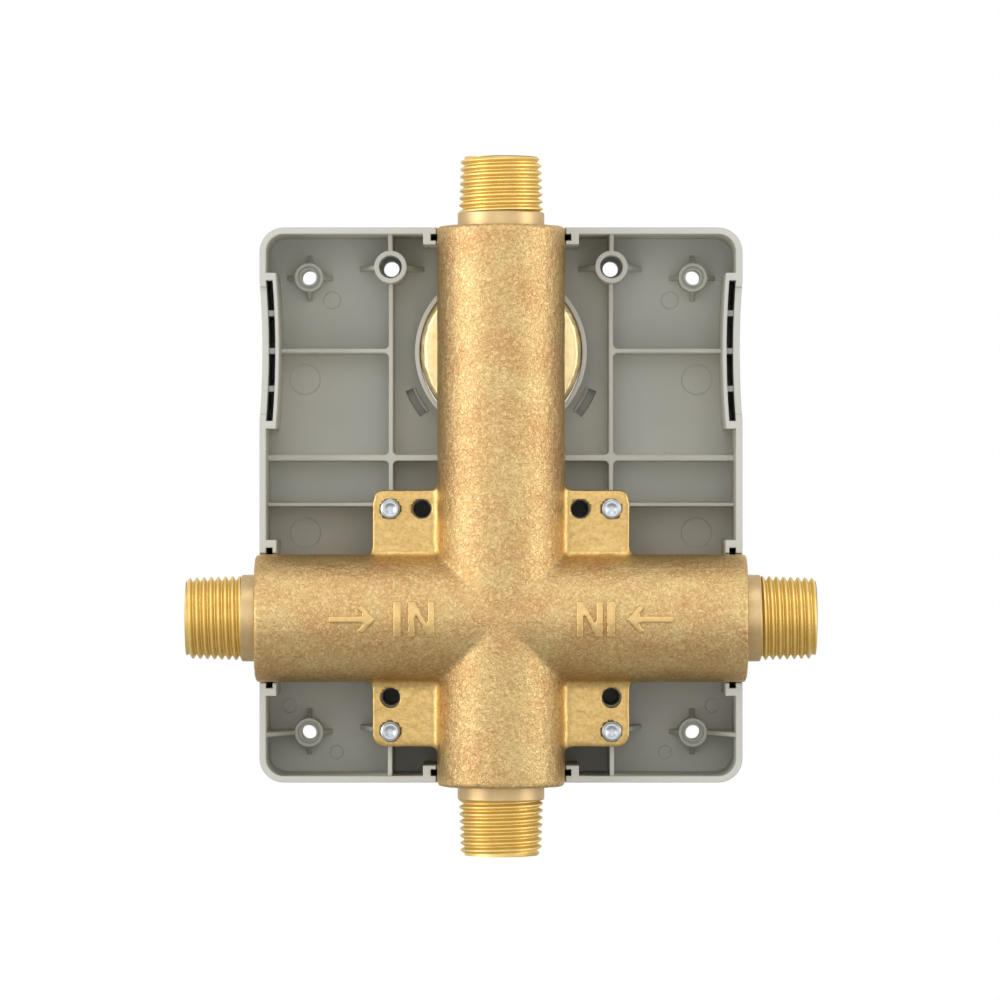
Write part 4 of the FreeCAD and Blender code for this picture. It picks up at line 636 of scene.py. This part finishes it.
# Stainless steel, centreless ground: cool grey with very fine lines.
ground_stainless, tree, shader, place = new_finish("ground_stainless")
lines = add_node(tree, "ShaderNodeTexNoise", {"Vector": place, "Scale": 1 / (0.3 * MM), "Detail": 2.0})
tone = add_node(tree, "ShaderNodeMix", {0: lines.outputs["Fac"], 6: linear("#A8A8AA"), 7: linear("#C4C4C6")},
                data_type="RGBA")
tree.links.new(tone.outputs[2], shader.inputs["Base Color"])
shader.inputs["Metallic"].default_value = 1.0
shader.inputs["Roughness"].default_value = 0.25
dress(ground_stainless, "balance_sleeve", "balance_spool", "left_check_valve_spring",
      "right_check_valve_spring")

# Service stops: a turned brass plug in each inlet arm, held by a hexagon gland nut, turned by a driver.
dress(turned_brass, "left_stop_plug", "right_stop_plug", "left_stop_gland_nut", "right_stop_gland_nut")

# Studio: a pale floor under the object, a white surround, two upright soft boxes at the sides, one overhead
# and a large one behind the camera. The floor ends before it would enter the camera's view.
FLOOR_Z = -0.16
pale_floor, tree, shader, place = new_finish("pale_floor_paint")
shader.inputs["Base Color"].default_value = linear("#E9E9E7")
shader.inputs["Roughness"].default_value = 0.8
floor_shape = bmesh.new()
for along, across in ((-600, -700), (600, -700), (600, 320), (-600, 320)):
    floor_shape.verts.new((along, across, FLOOR_Z / MM))
floor_shape.faces.new(floor_shape.verts)
floor = new_piece("floor", floor_shape)
floor.data.materials.append(pale_floor)

world = bpy.data.worlds.new("white_surround")
bpy.context.scene.world = world
world.use_nodes = True
tree = world.node_tree
surround = tree.nodes["Background"]
surround.inputs["Color"].default_value = linear("#FFFFFF")
ray = tree.nodes.new("ShaderNodeLightPath")
seen = add_node(tree, "ShaderNodeMath", {0: ray.outputs["Is Camera Ray"], 1: ray.outputs["Is Glossy Ray"]},
                operation="MAXIMUM")
seen_through = add_node(tree, "ShaderNodeMath", {0: seen.outputs["Value"],
                                                 1: ray.outputs["Is Transmission Ray"]}, operation="MAXIMUM")
strength = add_node(tree, "ShaderNodeMapRange", {"Value": seen_through.outputs["Value"], "To Min": 0.40,
                                                 "To Max": 1.0})
tree.links.new(strength.outputs["Result"], surround.inputs["Strength"])

for name, place, width, height, power in (("left_box", (-0.85, -0.42, 0.12), 0.45, 0.8, 4.8),
                                          ("right_box", (0.90, -0.32, 0.12), 0.40, 0.8, 3.4),
                                          ("overhead_box", (0.0, -0.45, 0.85), 0.7, 0.2, 1.6),
                                          ("front_box", (0.0, -1.70, 0.30), 1.1, 1.1, 4.2)):
    lamp = bpy.data.lights.new(name, "AREA")
    lamp.shape = "RECTANGLE"
    lamp.size = width
    lamp.size_y = height
    lamp.energy = power
    box = bpy.data.objects.new(name, lamp)
    box.location = place
    box.rotation_mode = "QUATERNION"
    box.rotation_quaternion = (-Vector(place)).to_track_quat("-Z", "Y")
    bpy.context.scene.collection.objects.link(box)

# Camera: square on to the open back, 1.4 m behind the tubes' axes.
SENSOR = 36.0
VIEW_WIDTH = 253.8
DISTANCE = 1400.0
lens = bpy.data.cameras.new("photo_lens")
lens.sensor_width = SENSOR
lens.lens = SENSOR * DISTANCE / VIEW_WIDTH
camera = bpy.data.objects.new("photo_camera", lens)
camera.location = Vector((-0.25, TUBE_Y - DISTANCE, 1.27)) * MM
camera.rotation_euler = (math.pi / 2, 0, 0)
bpy.context.scene.collection.objects.link(camera)
bpy.context.scene.camera = camera
bpy.context.scene.view_settings.view_transform = "Standard"
